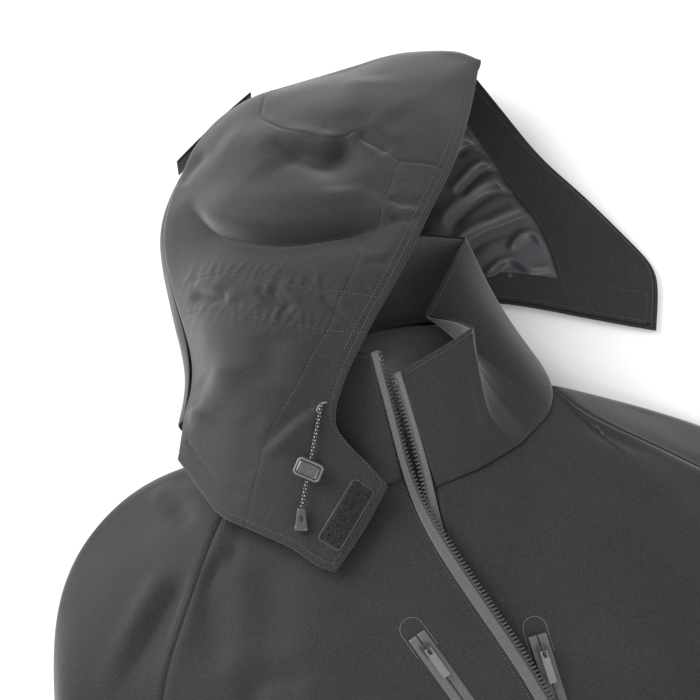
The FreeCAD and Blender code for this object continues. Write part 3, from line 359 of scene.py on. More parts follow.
def hook_material():
    """Hook fastener: a dark speckle of small hooks."""
    material, tree, shader = new_material("hook_fastener")
    cells = node(tree, "ShaderNodeTexVoronoi", Scale=900.0)
    link(tree, object_coordinates(tree), cells.inputs["Vector"])
    speckle = ramp(tree, cells.outputs["Distance"], (0.012, 0.012, 0.013), (0.002, 0.002, 0.002), 0.05, 0.55)
    link(tree, speckle, shader.inputs["Base Color"])
    bumped(tree, shader, cells.outputs["Distance"], 0.8, 0.0008)
    shader.inputs["Roughness"].default_value = 0.6
    return material


def solid_material(name, color, rough, metal=0.0, scratch=0.0, coat=0.0):
    """Moulded plastic or metal with a faint uneven surface and worn brighter spots."""
    material, tree, shader = new_material(name)
    grain = node(tree, "ShaderNodeTexNoise", Scale=700.0, Detail=5.0, Roughness=0.65)
    link(tree, object_coordinates(tree), grain.inputs["Vector"])
    low = tuple(c * (1 - 0.18) for c in color)
    high = tuple(min(1.0, c * (1 + 0.22 + scratch)) for c in color)
    link(tree, ramp(tree, grain.outputs["Fac"], low, high, 0.3, 0.75), shader.inputs["Base Color"])
    gloss = ramp(tree, grain.outputs["Fac"], (rough - 0.06,) * 3, (rough + 0.08,) * 3)
    link(tree, gloss, shader.inputs["Roughness"])
    bumped(tree, shader, grain.outputs["Fac"], 0.12, 0.00005)
    shader.inputs["Metallic"].default_value = metal
    shader.inputs["Coat Weight"].default_value = coat
    return material


SATIN = satin_material("satin_lining", (0.027, 0.028, 0.032), (0.046, 0.048, 0.055))
# Painted light: a far lighter copy of the satin lining for the back lining, so the satin round the back neck,
# which lies in the collar's shade, looks lit.
BACK_SATIN_PAINTED_LIGHT = satin_material("back_satin_painted_light", (0.200, 0.203, 0.226), (0.280, 0.285, 0.318))
HOOK = hook_material()
TAPE = solid_material("zip_tape_film", (0.082, 0.082, 0.081), 0.42)
TEETH = solid_material("zip_teeth", (0.020, 0.020, 0.021), 0.24, coat=0.7)
DARK_METAL = solid_material("dark_metal", (0.07, 0.07, 0.072), 0.32, metal=0.85, scratch=0.4)
LOCK_METAL = solid_material("lock_metal", (0.135, 0.135, 0.14), 0.30, metal=0.9)
LOCK_PLASTIC = solid_material("lock_plastic", (0.050, 0.050, 0.050), 0.35, coat=0.3)
LOCK_RIM = solid_material("lock_rim", (0.125, 0.125, 0.125), 0.30, coat=0.5)
PULL_FILM = solid_material("puller_film", (0.14, 0.14, 0.138), 0.42)
THREAD = solid_material("sewing_thread", (0.085, 0.085, 0.085), 0.8)
PULL_DARK = solid_material("patch_border", (0.034, 0.034, 0.034), 0.45)
HOOK_SHINE = solid_material("hook_stems", (0.011, 0.011, 0.012), 0.28, coat=0.6)
CORD_DARK = solid_material("cord_dark", (0.014, 0.014, 0.015), 0.8)
CORD_LIGHT = solid_material("cord_light", (0.46, 0.46, 0.46), 0.7)


# ------------------------------------------------ meshes
def to_mesh(name, points, faces, *materials):
    """A smooth-shaded object from points in millimetres."""
    mesh = bpy.data.meshes.new(name)
    mesh.from_pydata([tuple(p) for p in np.asarray(points, float) * MM], [], faces)
    mesh.validate()
    mesh.shade_smooth()
    for material in materials:
        mesh.materials.append(material)
    made = bpy.data.objects.new(name, mesh)
    bpy.context.scene.collection.objects.link(made)
    return made


def grid_faces(rows, columns, start=0, flip=False, closed=False):
    """Quads of a grid whose points are stored row by row. closed joins the last column to the first."""
    faces = []
    for j in range(rows - 1):
        for i in range(columns if closed else columns - 1):
            a, b = start + j * columns + i, start + j * columns + (i + 1) % columns
            quad = (a, b, b + columns, a + columns)
            faces.append(quad[::-1] if flip else quad)
    return faces


def cloth_mesh(name, grid, thickness, material):
    """A closed sheet: the grid is its outer face, and the inner face lies a thickness behind it."""
    rows, columns = grid.shape[:2]
    count = rows * columns
    ring = ([(0, i) for i in range(columns)] + [(j, columns - 1) for j in range(1, rows)]
            + [(rows - 1, i) for i in range(columns - 2, -1, -1)] + [(j, 0) for j in range(rows - 2, 0, -1)])
    normals = grid_normals(grid)
    border = np.array([grid[j, i] for j, i in ring])
    inward = np.array([normals[j, i] for j, i in ring]) * thickness
    flow = np.roll(border, -1, axis=0) - np.roll(border, 1, axis=0)
    outward = np.cross(flow, inward)
    outward = -outward / np.maximum(np.linalg.norm(outward, axis=1, keepdims=True), 1e-9)
    middle = grid.reshape(-1, 3).mean(axis=0)
    if ((border - middle) * outward).sum() < 0:
        outward = -outward
    bulge = border - inward / 2 + outward * thickness * 0.35
    points = np.vstack([grid.reshape(-1, 3), lifted(grid, -thickness).reshape(-1, 3), bulge])
    faces = grid_faces(rows, columns) + grid_faces(rows, columns, count, flip=True)
    size = len(ring)
    for k in range(size):
        (j, i), (jn, im) = ring[k], ring[(k + 1) % size]
        a, b = j * columns + i, jn * columns + im
        ma, mb = 2 * count + k, 2 * count + (k + 1) % size
        faces += [(b, a, ma, mb), (mb, ma, a + count, b + count)]
    return to_mesh(name, points, faces, material)


def finished(piece, body, slot, *replaced):
    """Says what a piece rides on and which CAD nodes it stands for. slot, the finish it takes, is not used.
    """
    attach(piece, body)
    if replaced:
        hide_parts(*replaced)
    return piece


def tree_of(grid):
    """A searchable surface of a grid, in millimetres."""
    rows, columns = grid.shape[:2]
    return BVHTree.FromPolygons([Vector(p) for p in grid.reshape(-1, 3)], grid_faces(rows, columns))


def dropped(tree, path, spacing=1.2):
    """Points and normals where a plan path lies on a surface."""
    line = catmull(path, 12) if len(path) > 2 else np.array(path, float)
    length = np.linalg.norm(np.diff(line, axis=0), axis=1).sum()
    out = []
    for x, y in resample(line, max(3, int(length / spacing))):
        hit, normal, _, _ = tree.ray_cast(Vector((x, y, 400)), Vector((0, 0, -1)))
        if hit is not None:
            out.append((np.array(hit), np.array(normal if normal.z > 0 else -normal)))
    return out


def parallel(grid, side, distance):
    """Points and normals of a line that keeps a distance from one side of a grid."""
    turned = turned_to(grid, side)
    normals = turned_to(grid_normals(grid), side)
    out = []
    for i in range(turned.shape[1]):
        line = turned[:, i]
        length = np.concatenate([[0], np.cumsum(np.linalg.norm(np.diff(line, axis=0), axis=1))])
        point = np.array([np.interp(distance, length, line[:, k]) for k in range(3)])
        normal = np.array([np.interp(distance, length, normals[:, i, k]) for k in range(3)])
        out.append((point, normal / max(np.linalg.norm(normal), 1e-9)))
    return out


STITCH_LONG, STITCH_STEP, STITCH_WIDE = 1.9, 2.7, 0.46


def stitch_points(line):
    """Middle, direction and normal of each stitch along a line of points and normals."""
    points = np.array([p for p, _ in line])
    normals = np.array([n for _, n in line])
    steps = np.linalg.norm(np.diff(points, axis=0), axis=1)
    length = np.concatenate([[0], np.cumsum(steps)])
    for start in np.arange(STITCH_STEP * 0.5, length[-1] - STITCH_STEP, STITCH_STEP):
        a = np.array([np.interp(start, length, points[:, k]) for k in range(3)])
        b = np.array([np.interp(start + STITCH_LONG, length, points[:, k]) for k in range(3)])
        n = np.array([np.interp(start, length, normals[:, k]) for k in range(3)])
        yield a, b, n


def stitches(name, body, slot, lines, material):
    """Rows of thread: each stitch is a small pillow that dips into the cloth at both ends."""
    points, faces = [], []
    for line in lines:
        if len(line) < 3:
            continue
        for a, b, n in stitch_points(line):
            run = b - a
            size = np.linalg.norm(run)
            if size < 1e-6:
                continue
            run = run / size
            side = np.cross(n, run)
            first = len(points)
            for share, wide, high in ((0.0, 0.45, -0.05), (0.28, 1.0, 0.26), (0.72, 1.0, 0.26),
                                      (1.0, 0.45, -0.05)):
                base = a + run * size * share
                for s, h in ((-0.5, 0.0), (0.0, 1.0), (0.5, 0.0), (0.0, -0.6)):
                    points.append(base + side * STITCH_WIDE * wide * s + n * (high + 0.16 * h))
            faces += grid_faces(4, 4, first, closed=True)
            faces += [(first + 3, first + 2, first + 1, first),
                      (first + 12, first + 13, first + 14, first + 15)]
    return finished(to_mesh(name, points, faces, material), body, slot)


def tube(path, radii, sides=10, squash=1.0):
    """Points and faces of a tube along a path, with its ends closed. squash flattens it in height."""
    path = np.array(path, float)
    points, faces = [], []
    for k, p in enumerate(path):
        run = path[min(k + 1, len(path) - 1)] - path[max(k - 1, 0)]
        run /= max(np.linalg.norm(run), 1e-9)
        side = np.cross(run, (0, 0, 1.0))
        side = side / max(np.linalg.norm(side), 1e-9)
        up = np.cross(side, run)
        for s in range(sides):
            angle = 2 * math.pi * s / sides
            points.append(p + radii[k] * (side * math.cos(angle) + up * math.sin(angle) * squash))
    faces = grid_faces(len(path), sides, closed=True)
    faces.append(tuple(reversed(range(sides))))
    last = (len(path) - 1) * sides
    faces.append(tuple(last + s for s in range(sides)))
    return np.array(points), faces


def joined(parts):
    """One list of points and faces from several."""
    points, faces = [], []
    for part_points, part_faces in parts:
        start = len(points)
        points += [tuple(p) for p in part_points]
        faces += [tuple(start + k for k in face) for face in part_faces]
    return points, faces


def rounded_outline(long, wide, radius, per_corner=6):
    """Plan outline of a rounded rectangle about the origin."""
    radius = min(radius, long / 2, wide / 2)
    out = []
    for k, (sx, sy) in enumerate(((1, 1), (-1, 1), (-1, -1), (1, -1))):
        for step in range(per_corner + 1):
            angle = math.pi / 2 * (k + step / per_corner)
            out.append((sx * (long / 2 - radius) + radius * math.cos(angle),
                        sy * (wide / 2 - radius) + radius * math.sin(angle)))
    return np.array(out)


def pillow(outline, levels):
    """A solid from an outline and levels of (height, inset share): the ends are closed."""
    outline = np.array(outline, float)
    middle = outline.mean(axis=0)
    reach = np.abs(outline - middle).max(axis=0)
    points = []
    for height, inset in levels:
        shrink = (reach - inset) / reach
        ring = middle + (outline - middle) * shrink
        points += [(x, y, height) for x, y in ring]
    size = len(outline)
    faces = grid_faces(len(levels), size, closed=True)
    faces.append(tuple(reversed(range(size))))
    faces.append(tuple((len(levels) - 1) * size + k for k in range(size)))
    return np.array(points), faces


def placed(points, origin, x_axis, z_axis):
    """Local points put at an origin, with their X and Z axes along two directions."""
    z = np.array(z_axis, float)
    z /= np.linalg.norm(z)
    x = np.array(x_axis, float)
    x = x - z * (x @ z)
    x /= np.linalg.norm(x)
    y = np.cross(z, x)
    return np.asarray(points, float) @ np.array([x, y, z]) + np.array(origin, float)


def outward_normals(piece):
    """Turns every face of a closed mesh outwards."""
    work = bmesh.new()
    work.from_mesh(piece.data)
    bmesh.ops.recalc_face_normals(work, faces=work.faces)
    work.to_mesh(piece.data)
    work.free()


def solid_mesh(name, points, faces, *materials):
    """A closed object from points in millimetres, with its faces turned outwards."""
    made = to_mesh(name, points, faces, *materials)
    outward_normals(made)
    return made


# ------------------------------------------------ the lying jacket's shape, as in the CAD
HEM_Y, ARMPIT_Y, NECK_Y = -395.0, 60.0, 263.0
HEM_RISE, CHEST_RISE, EDGE_Z = 40.0, 88.0, 3.0
FRONT_ROUND, FRONT_FALL, FRONT_DROP = 2.4, 0.85, 9.0
SLEEVE_RISE, CUFF_RISE, CUFF_LONG = 50.0, 34.0, 30.0
TAPE_WIDE, TAPE_THICK, TEETH_WIDE, TEETH_THICK = 8.0, 0.8, 4.4, 2.4


def ridge(y):
    return HEM_RISE + (CHEST_RISE - HEM_RISE) * np.minimum((y - HEM_Y) / (NECK_Y - HEM_Y), 1.0)


def half_width(y):
    return 284.0 - 14.0 * smooth((y + 100.0) / 160.0) + 34.0 * smooth((y - ARMPIT_Y) / 90.0)


def shoulder_line(x):
    right = 357.0 - 0.10 * np.maximum(0, -x - 150.0) - 0.55 * np.maximum(0, -x - 215.0)
    left = 357.0 - 50.0 * smooth(x / 110.0) - 0.85 * np.maximum(0, x - 118.0)
    return np.where(x < 0, right, left)


def front_height(x, y):
    across = np.minimum(1.0, np.abs(x) / half_width(y))
    arch = (1.0 - across**FRONT_ROUND) ** FRONT_FALL
    fall = np.clip((y - shoulder_line(x) + 172.0) / 172.0, 0.0, 1.0)
    return EDGE_Z + (ridge(y) - EDGE_Z) * arch * np.sqrt(1.0 - fall * fall)


def left_front_height(x, y):
    near = 1.0 - smooth((x - 30.0) / 90.0)
    below_neck = 1.0 - smooth((y - 213.0) / 64.0)
    return front_height(x, y) - FRONT_DROP * near * below_neck


RIGHT_SIDE = [(-283, HEM_Y), (-284, -250), (-282, -100), (-276, 10), (-270, ARMPIT_Y)]
RIGHT_RAGLAN = [(-270, ARMPIT_Y), (-254, 130), (-230, 197), (-186, 250), (-142, 295), (-99, 332)]
LEFT_SIDE = [(283, HEM_Y), (284, -250), (281, -110), (274, -10), (266, 44)]
LEFT_RAGLAN = [(266, 44), (246, 104), (206, 160), (164, 213), (131, 256), (119, 292)]
NECK_RIGHT = [(-11.5, 262), (-34, 262), (-66, 279), (-88, 304), (-99, 332)]
NECK_LEFT = [(-3.5, 247), (36, 247), (72, 255), (102, 272), (119, 292)]
NECK_BACK = [(-99, 332), (-92, 364), (-50, 386), (10, 390), (70, 374), (112, 338), (119, 292)]
RIGHT_ROW = [(8, HEM_Y + 8), (8, -200), (8, 60), (4, 110), (-5, 165), (-12, 215), (-14, 240), (-11.5, 262)]
LEFT_ROW = [(-38, HEM_Y + 8), (-38, -200), (-38, 20), (-32, 120), (-23, 170), (-15, 218), (-3.5, 247)]
COLLAR_RIGHT_ROW = [(-11.5, 263, 79), (-5, 298, 100), (1, 341, 121)]
COLLAR_LEFT_ROW = [(-3.2, 248, 76), (0.5, 282, 97), (4, 321, 119)]


def narrowing(y):
    """The zip is narrower in the collar than on the fronts."""
    return 1.0 - 0.38 * smooth((y - 205.0) / 45.0)


RIGHT_OUTER = [(-101, 336), (-150, 365), (-212, 359), (-270, 319), (-306, 226), (-345, 90), (-395, -80),
               (-440, -238)]
RIGHT_INNER = [(-272, 59), (-290, -20), (-318, -130), (-348, -262)]
LEFT_OUTER = [(121, 296), (146, 277), (200, 238), (252, 180), (300, 90), (338, -40), (372, -180), (398, -300)]
LEFT_INNER = [(269, 43), (282, -40), (296, -160), (306, -312)]


# ------------------------------------------------ fronts, sleeves and back
# Distances of the stitch rows from the edge or seam that they follow.
HEM_STITCH, ZIP_STITCH, RAGLAN_STITCH = 24.0, 1.8, 6.5


def neck_corner(neck, shift):
    return neck[0][0] + shift * narrowing(neck[0][1]), neck[0][1]


def front_poles(row, side, raglan, neck, shift, height, columns=8, rows=14):
    edge = [(x + shift * narrowing(y), y) for x, y in row]
    edge[0] = (edge[0][0], HEM_Y)
    outer = side + raglan[1:]
    top = [neck_corner(neck, shift)] + neck[1:]
    plan = coons(resample([edge[0], outer[0]], columns), resample(top, columns),
                 resample(edge, rows), resample(outer, rows))
    return np.dstack([plan, height(plan[..., 0], plan[..., 1])])


def seam_dip(grid, sides, depth=1.0, width=2.4):
    """Cloth curls down towards its seams, and a row of topstitching beside them pulls a shallow channel."""
    distance = edge_distance(grid, sides)
    return -depth * bell(distance, width)


def topstitch_channel(grid, sides, distance, depth=0.25, width=0.8):
    return -depth * bell(edge_distance(grid, sides) - distance, width)


def on_plan(line, height):
    line = np.array(line, float)
    return np.column_stack([line, height(line[:, 0], line[:, 1])])


def build_front(side):
    right = side == "right"
    tape = TAPE_WIDE + 1.0
    row, flank, raglan, neck, shift, height = (
        (RIGHT_ROW, RIGHT_SIDE, RIGHT_RAGLAN, NECK_RIGHT, -tape, front_height) if right else
        (LEFT_ROW, LEFT_SIDE, LEFT_RAGLAN, NECK_LEFT, tape, left_front_height))
    poles = front_poles(row, flank, raglan, neck, shift, height)
    grid = skin(poles, 300, 130)
    outer = np.vstack([curve(flank), curve(raglan)[1:]])
    top = curve([neck_corner(neck, shift)] + neck[1:])
    grid = edged(grid, right=on_plan(outer, height), high=on_plan(top, height), reach=0.10)
    grid = wound(grid, (0, 0, 1))
    zip_side, flank_side = ("right", "left") if right else ("left", "right")
    relief = waves(grid, 95, 2.2, 1 + right) + waves(grid, 38, 0.5, 3 + right)
    for path, *shape in FRONT_FOLDS[side]:
        relief += fold(grid, path, *shape)
    calm = smooth(edge_distance(grid, [zip_side]) / 28.0)
    relief *= 0.25 + 0.75 * calm
    relief *= smooth(edge_distance(grid, [flank_side, "high", "low"]) / 16.0)
    relief += seam_dip(grid, [flank_side, "high"]) + seam_dip(grid, [flank_side], 0.9, 0.8)
    relief += topstitch_channel(grid, ["low"], HEM_STITCH)
    relief += topstitch_channel(grid, [zip_side], ZIP_STITCH, 0.12)
    grid = lifted(grid, relief)
    piece = cloth_mesh(f"{side}_front", grid, SHELL_THICK, SHELL)
    finished(piece, "jacket", "shell_fabric", f"{side}_front_panel")
    rows = [parallel(grid, "low", HEM_STITCH), parallel(grid, zip_side, ZIP_STITCH)]
    stitches(f"{side}_front_stitching", "jacket", "shell_fabric", rows, THREAD)
    return grid


# Valleys of the lying fronts: path, depth, width of a side, height of the bank on its left.
FRONT_FOLDS = {
    "right": [([(-168, 284), (-176, 240), (-190, 190)], 3.0, 13, 1.5),
              ([(-120, 262), (-150, 200), (-196, 130)], 3.0, 17, 1.0),
              ([(-190, 256), (-160, 262), (-136, 268)], 3.5, 8, 0.0),
              ([(-184, 170), (-165, 175), (-150, 171), (-132, 158)], 3.5, 9, 2.0),
              ([(-232, 60), (-205, -10), (-150, -60)], 4.0, 16, 2.0),
              ([(-60, 40), (-110, -60), (-190, -120)], 4.0, 18, 1.5),
              ([(-250, -180), (-170, -230), (-70, -240)], 5.0, 20, 2.0),
              ([(-220, -300), (-140, -330), (-40, -320)], 4.0, 17, 1.5)],
    "left": [([(128, 262), (150, 228), (190, 205)], 5.0, 12, 2.0),
             ([(70, 232), (110, 200), (150, 150)], 2.5, 15, 1.0),
             ([(235, 50), (190, -10), (130, -40)], 4.0, 16, 2.0),
             ([(30, -60), (110, -110), (200, -130)], 4.0, 18, 1.5),
             ([(250, -190), (170, -240), (60, -250)], 5.0, 20, 2.0),
             ([(215, -310), (140, -335), (40, -325)], 4.0, 17, 1.5)],
}


def sleeve_poles(outer, inner, raglan, columns=7, rows=12):
    seam = raglan[::-1]
    plan = coons(resample(seam, columns), resample([outer[-1], inner[-1]], columns),
                 resample([seam[0]] + outer[1:], rows), resample([seam[-1]] + inner[1:], rows))
    v = np.linspace(0, 1, rows)[:, None]
    share = smooth(v / 0.45)
    rise = SLEEVE_RISE + (CUFF_RISE - SLEEVE_RISE) * v
    across = np.abs(2.0 * np.linspace(0, 1, columns)[None] - 1.0)
    round_tube = EDGE_Z + (rise - EDGE_Z) * (1.0 - across**FRONT_ROUND) ** FRONT_FALL
    lying = front_height(plan[..., 0], plan[..., 1])
    return np.dstack([plan, (1.0 - share) * lying + share * round_tube])


SLEEVE_FOLDS = {
    "right": [([(-325, 195), (-300, 150), (-275, 120)], 4.5, 11, 2.0),
              ([(-345, 120), (-312, 70), (-280, 50)], 5.0, 12, 2.5),
              ([(-368, 20), (-335, -10), (-300, -10)], 5.0, 12, 2.5),
              ([(-385, -60), (-355, -75), (-315, -60)], 4.0, 10, 2.0),
              ([(-410, -150), (-375, -150), (-335, -130)], 4.5, 11, 2.0),
              ([(-425, -210), (-390, -220), (-350, -205)], 3.5, 9, 1.5),
              ([(-268, 206), (-230, 234), (-207, 252), (-192, 264), (-180, 280)], 6.5, 7, 4.0, 2.2),
              ([(-174, 330), (-167, 316), (-163, 298)], 4.0, 7, 2.0),
              ([(-186, 330), (-170, 339), (-152, 322)], -2.5, 6, 0.0)],
    "left": [([(270, 150), (262, 110), (268, 75)], 4.0, 11, 2.0),
             ([(315, 40), (290, 10), (276, 5)], 4.5, 12, 2.0),
             ([(345, -70), (315, -80), (288, -60)], 5.0, 12, 2.5),
             ([(362, -150), (330, -160), (298, -140)], 4.0, 10, 2.0),
             ([(378, -220), (340, -230), (306, -210)], 4.5, 11, 2.0),
             ([(388, -275), (350, -285), (312, -270)], 3.5, 9, 1.5)],
}


def build_sleeve(side):
    outer, inner, raglan = ((RIGHT_OUTER, RIGHT_INNER, RIGHT_RAGLAN) if side == "right"
                            else (LEFT_OUTER, LEFT_INNER, LEFT_RAGLAN))
    grid = skin(sleeve_poles(outer, inner, raglan), 260, 110)
    seam = on_plan(curve(raglan[::-1]), front_height)
    grid = wound(edged(grid, low=seam, reach=0.06), (0, 0, 1))
    relief = waves(grid, 70, 2.6, 7 + (side == "left")) + waves(grid, 30, 0.6, 9)
    for path, *shape in SLEEVE_FOLDS[side]:
        relief += fold(grid, path, *shape, ends=(0.4, 0.4))
    relief *= smooth(edge_distance(grid, ["low", "high"]) / 16.0)
    relief *= smooth(edge_distance(grid, ["left", "right"]) / 8.0)
    relief += seam_dip(grid, ["low"]) + seam_dip(grid, ["high"], 0.8)
    relief += topstitch_channel(grid, ["low"], RAGLAN_STITCH)
    grid = lifted(grid, relief)
    stitches(f"{side}_sleeve_stitching", "jacket", "shell_fabric", [parallel(grid, "low", RAGLAN_STITCH)],
             THREAD)
    piece = cloth_mesh(f"{side}_sleeve", grid, SHELL_THICK, SHELL)
    finished(piece, "jacket", "shell_fabric", f"{side}_sleeve_top")
    plan = skin(sleeve_poles(outer, inner, raglan), 90, 30)
    plan[..., 2] = BACK_THICK
    under = cloth_mesh(f"{side}_sleeve_back", wound(plan, (0, 0, 1)), BACK_THICK, SHELL)
    finished(under, "jacket", "shell_fabric", f"{side}_sleeve_under")


# Where the collar stands on the back, with the height of its foot.
NECK_FOOT = [(-104, 300, 42), (-100, 335, 40), (-86, 372, 20), (-20, 391, 11), (30, 390, 10), (74, 376, 11),
             (116, 336, 18), (124, 300, 34)]


def neck_rise(x, y):
    """The back curves up to the collar near the neck."""
    distance, _, share = line_distance(x, y, [point[:2] for point in NECK_FOOT])
    foot = np.interp(share, np.linspace(0, 1, len(NECK_FOOT)), [point[2] for point in NECK_FOOT])
    return foot * np.exp(-(distance / 16.0) ** 1.4)


def build_back():
    """The back panel on the ground, and the satin that covers it inside."""
    top = np.vstack([curve(RIGHT_RAGLAN)[:-1], curve(NECK_BACK)[:-1], curve(LEFT_RAGLAN[::-1])])
    hem = [RIGHT_SIDE[0], LEFT_SIDE[0]]
    plan = coons(resample(hem, 120), resample(top, 120), resample(curve(RIGHT_SIDE), 110),
                 resample(curve(LEFT_SIDE), 110))
    plan = np.dstack([plan, neck_rise(plan[..., 0], plan[..., 1])])
    back = cloth_mesh("back", wound(plan + (0, 0, BACK_THICK), (0, 0, 1)), BACK_THICK, SHELL)
    finished(back, "jacket", "shell_fabric", "back_panel")
    middle = np.array([0.0, -40.0, 0.0])
    inside = middle + (plan - middle) * (0.955, 0.975, 1.0)
    inside[..., 1] += 9.0 * smooth((plan[..., 1] - 200.0) / 120.0)
    cushion = 44.0 * bell(np.hypot((inside[..., 0] - 5.0) / 75.0, (inside[..., 1] - 350.0) / 42.0), 1.0)
    inside[..., 2] = np.maximum(neck_rise(inside[..., 0], inside[..., 1]), cushion)
    grid = wound(inside + (0, 0, 3.0), (0, 0, 1))
    relief = waves(grid, 60, 1.6, 12) + np.abs(waves(grid, 26, 0.8, 13))
    from_edges = edge_distance(grid, ["low", "high", "left", "right"])
    relief = np.clip(relief, -0.1, 2.4) * smooth(from_edges / 20.0)
    # The back lining wears the lighter satin copy: painted light in the shaded back neck.
    piece = cloth_mesh("back_satin", lifted(grid, relief), 0.7, BACK_SATIN_PAINTED_LIGHT)
    finished(piece, "jacket", "satin_lining", "back_lining")


STRAP_LONG, STRAP_WIDE = 61.0, 23.0
CUFF_TUCK = 6.0                # how far the cuff band reaches up inside the sleeve


def cuff_arch(t):
    """Height of the cuff's upper side at a share of its width."""
    return EDGE_Z + (CUFF_RISE - EDGE_Z) * (1.0 - np.abs(2 * t - 1) ** FRONT_ROUND) ** FRONT_FALL


def build_cuff(side):
    """The cuff band: a flattened tube with a hem, and the tab that closes it."""
    outer, inner = ((RIGHT_OUTER, RIGHT_INNER) if side == "right" else (LEFT_OUTER, LEFT_INNER))
    a, b = np.array([*outer[-1], 0.0]), np.array([*inner[-1], 0.0])
    across = (b - a) / np.linalg.norm(b - a)
    run = np.cross((0, 0, 1.0), across)
    run = run if run[1] < 0 else -run
    width = np.linalg.norm(b - a)
    t = np.linspace(0, 1, 60)
    top = a + across * (width * t)[:, None] + np.array([0, 0, 1.0]) * cuff_arch(t)[:, None]
    low = a + across * (width * t[::-1])[:, None] + np.array([0, 0, 0.9])
    loop = resample(np.vstack([top, low[1:-1], top[:1]]), 140)[:-1]
    shares = np.linspace(0.0, 1.0, 24)
    reach = (CUFF_LONG + CUFF_TUCK) * shares[:, None] - CUFF_TUCK
    outside = loop[None] + run * (0.8 + reach[..., None])
    radial = loop - loop.mean(axis=0)
    radial /= np.linalg.norm(radial, axis=1, keepdims=True)
    step_in = 1.5 * (1.0 - smooth((reach + CUFF_TUCK) / CUFF_TUCK)) + 0.5 * bell(reach - 24, 0.9)
    outside -= radial[None] * step_in[..., None]
    inside = outside - radial[None] * 1.3
    count, rows = loop.shape[0], len(shares)
    points = np.vstack([outside.reshape(-1, 3), inside.reshape(-1, 3)])
    faces = grid_faces(rows, count, closed=True) + grid_faces(rows, count, rows * count, flip=True,
                                                              closed=True)
    for j, flip in ((0, True), (rows - 1, False)):
        for i in range(count):
            p, q = j * count + i, j * count + (i + 1) % count
            quad = (p, q, q + rows * count, p + rows * count)
            faces.append(quad if flip else quad[::-1])
    piece = solid_mesh(f"{side}_cuff_band", points, faces, SHELL)
    finished(piece, "jacket", "shell_fabric", f"{side}_cuff")
    low_corner, high_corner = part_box(f"{side}_cuff_tab")
    middle = np.array([(low_corner[k] + high_corner[k]) / 2 / MM for k in range(3)])
    tab_points, tab_faces = pillow(rounded_outline(STRAP_LONG, STRAP_WIDE, 4),
                                   [(-0.8, 0.4), (-0.5, 0), (0.5, 0), (0.8, 0.4)])
    tab = to_mesh(f"{side}_cuff_strap", placed(tab_points, middle, across, (0, 0, 1)), tab_faces, SHELL)
    finished(tab, f"{side}_cuff_tab", "shell_fabric", f"{side}_cuff_tab")
    start = float((middle - a) @ across + STRAP_LONG / 2) / width
    share = np.linspace(0, 1, 24)
    t = start + (0.99 - start) * share
    height = middle[2] + (cuff_arch(t) + 1.0 - middle[2]) * smooth(share / 0.5)
    beside = float((middle - a) @ run) + np.linspace(-STRAP_WIDE / 2, STRAP_WIDE / 2, 10)
    root = (a + across * (width * t)[:, None, None] + run * beside[None, :, None]
            + np.array([0, 0, 1.0]) * height[:, None, None])
    sewn = cloth_mesh(f"{side}_cuff_strap_root", wound(root, (0, 0, 1)), 1.2, SHELL)
    finished(sewn, "jacket", "shell_fabric")
    border = rounded_outline(STRAP_LONG - 6, STRAP_WIDE - 6, 3)
    border = np.column_stack([np.vstack([border, border[:1]]), np.full(len(border) + 1, 0.8)])
    line = [(p, np.array([0, 0, 1.0])) for p in placed(border, middle, across, (0, 0, 1))]
    stitches(f"{side}_cuff_strap_stitching", f"{side}_cuff_tab", "shell_fabric", [line], THREAD)


# ------------------------------------------------ collar
# Matching points of the neck seam and the top edge, from the right front round the back to the left front.
COLLAR_BASE = [(-17.5, 264, 81), (-50, 270, 78), (-84, 298, 65), (-100, 335, 45), (-86, 372, 22),
               (-20, 391, 13),
               (30, 390, 12), (74, 376, 13), (116, 336, 20), (121, 300, 36), (104, 272, 56), (72, 254, 71),
               (36, 249, 77.5), (2.6, 249, 79.5)]
COLLAR_TOP = [(-5, 342, 120), (-34, 364, 103), (-66, 389, 84), (-80, 414, 63), (-50, 433, 52), (0, 441, 52),
              (40, 439, 56), (74, 432, 62), (106, 409, 74), (86, 392, 82), (50, 362, 88), (76, 331, 112),
              (40, 325, 116), (9.8, 321, 118)]
COLLAR_CORNERS = (8, 10, 11)
COLLAR_TUCK = 0.04             # share of the collar's height that is tucked below its seam
COLLAR_STITCH = 3.0


def collar_grid(rows=64, count=22):
    low, high = curve(COLLAR_BASE, (11,), count), curve(COLLAR_TOP, COLLAR_CORNERS, count)
    v = np.linspace(-COLLAR_TUCK, 1, rows)[:, None, None]
    return low[None] * (1 - v) + high[None] * v


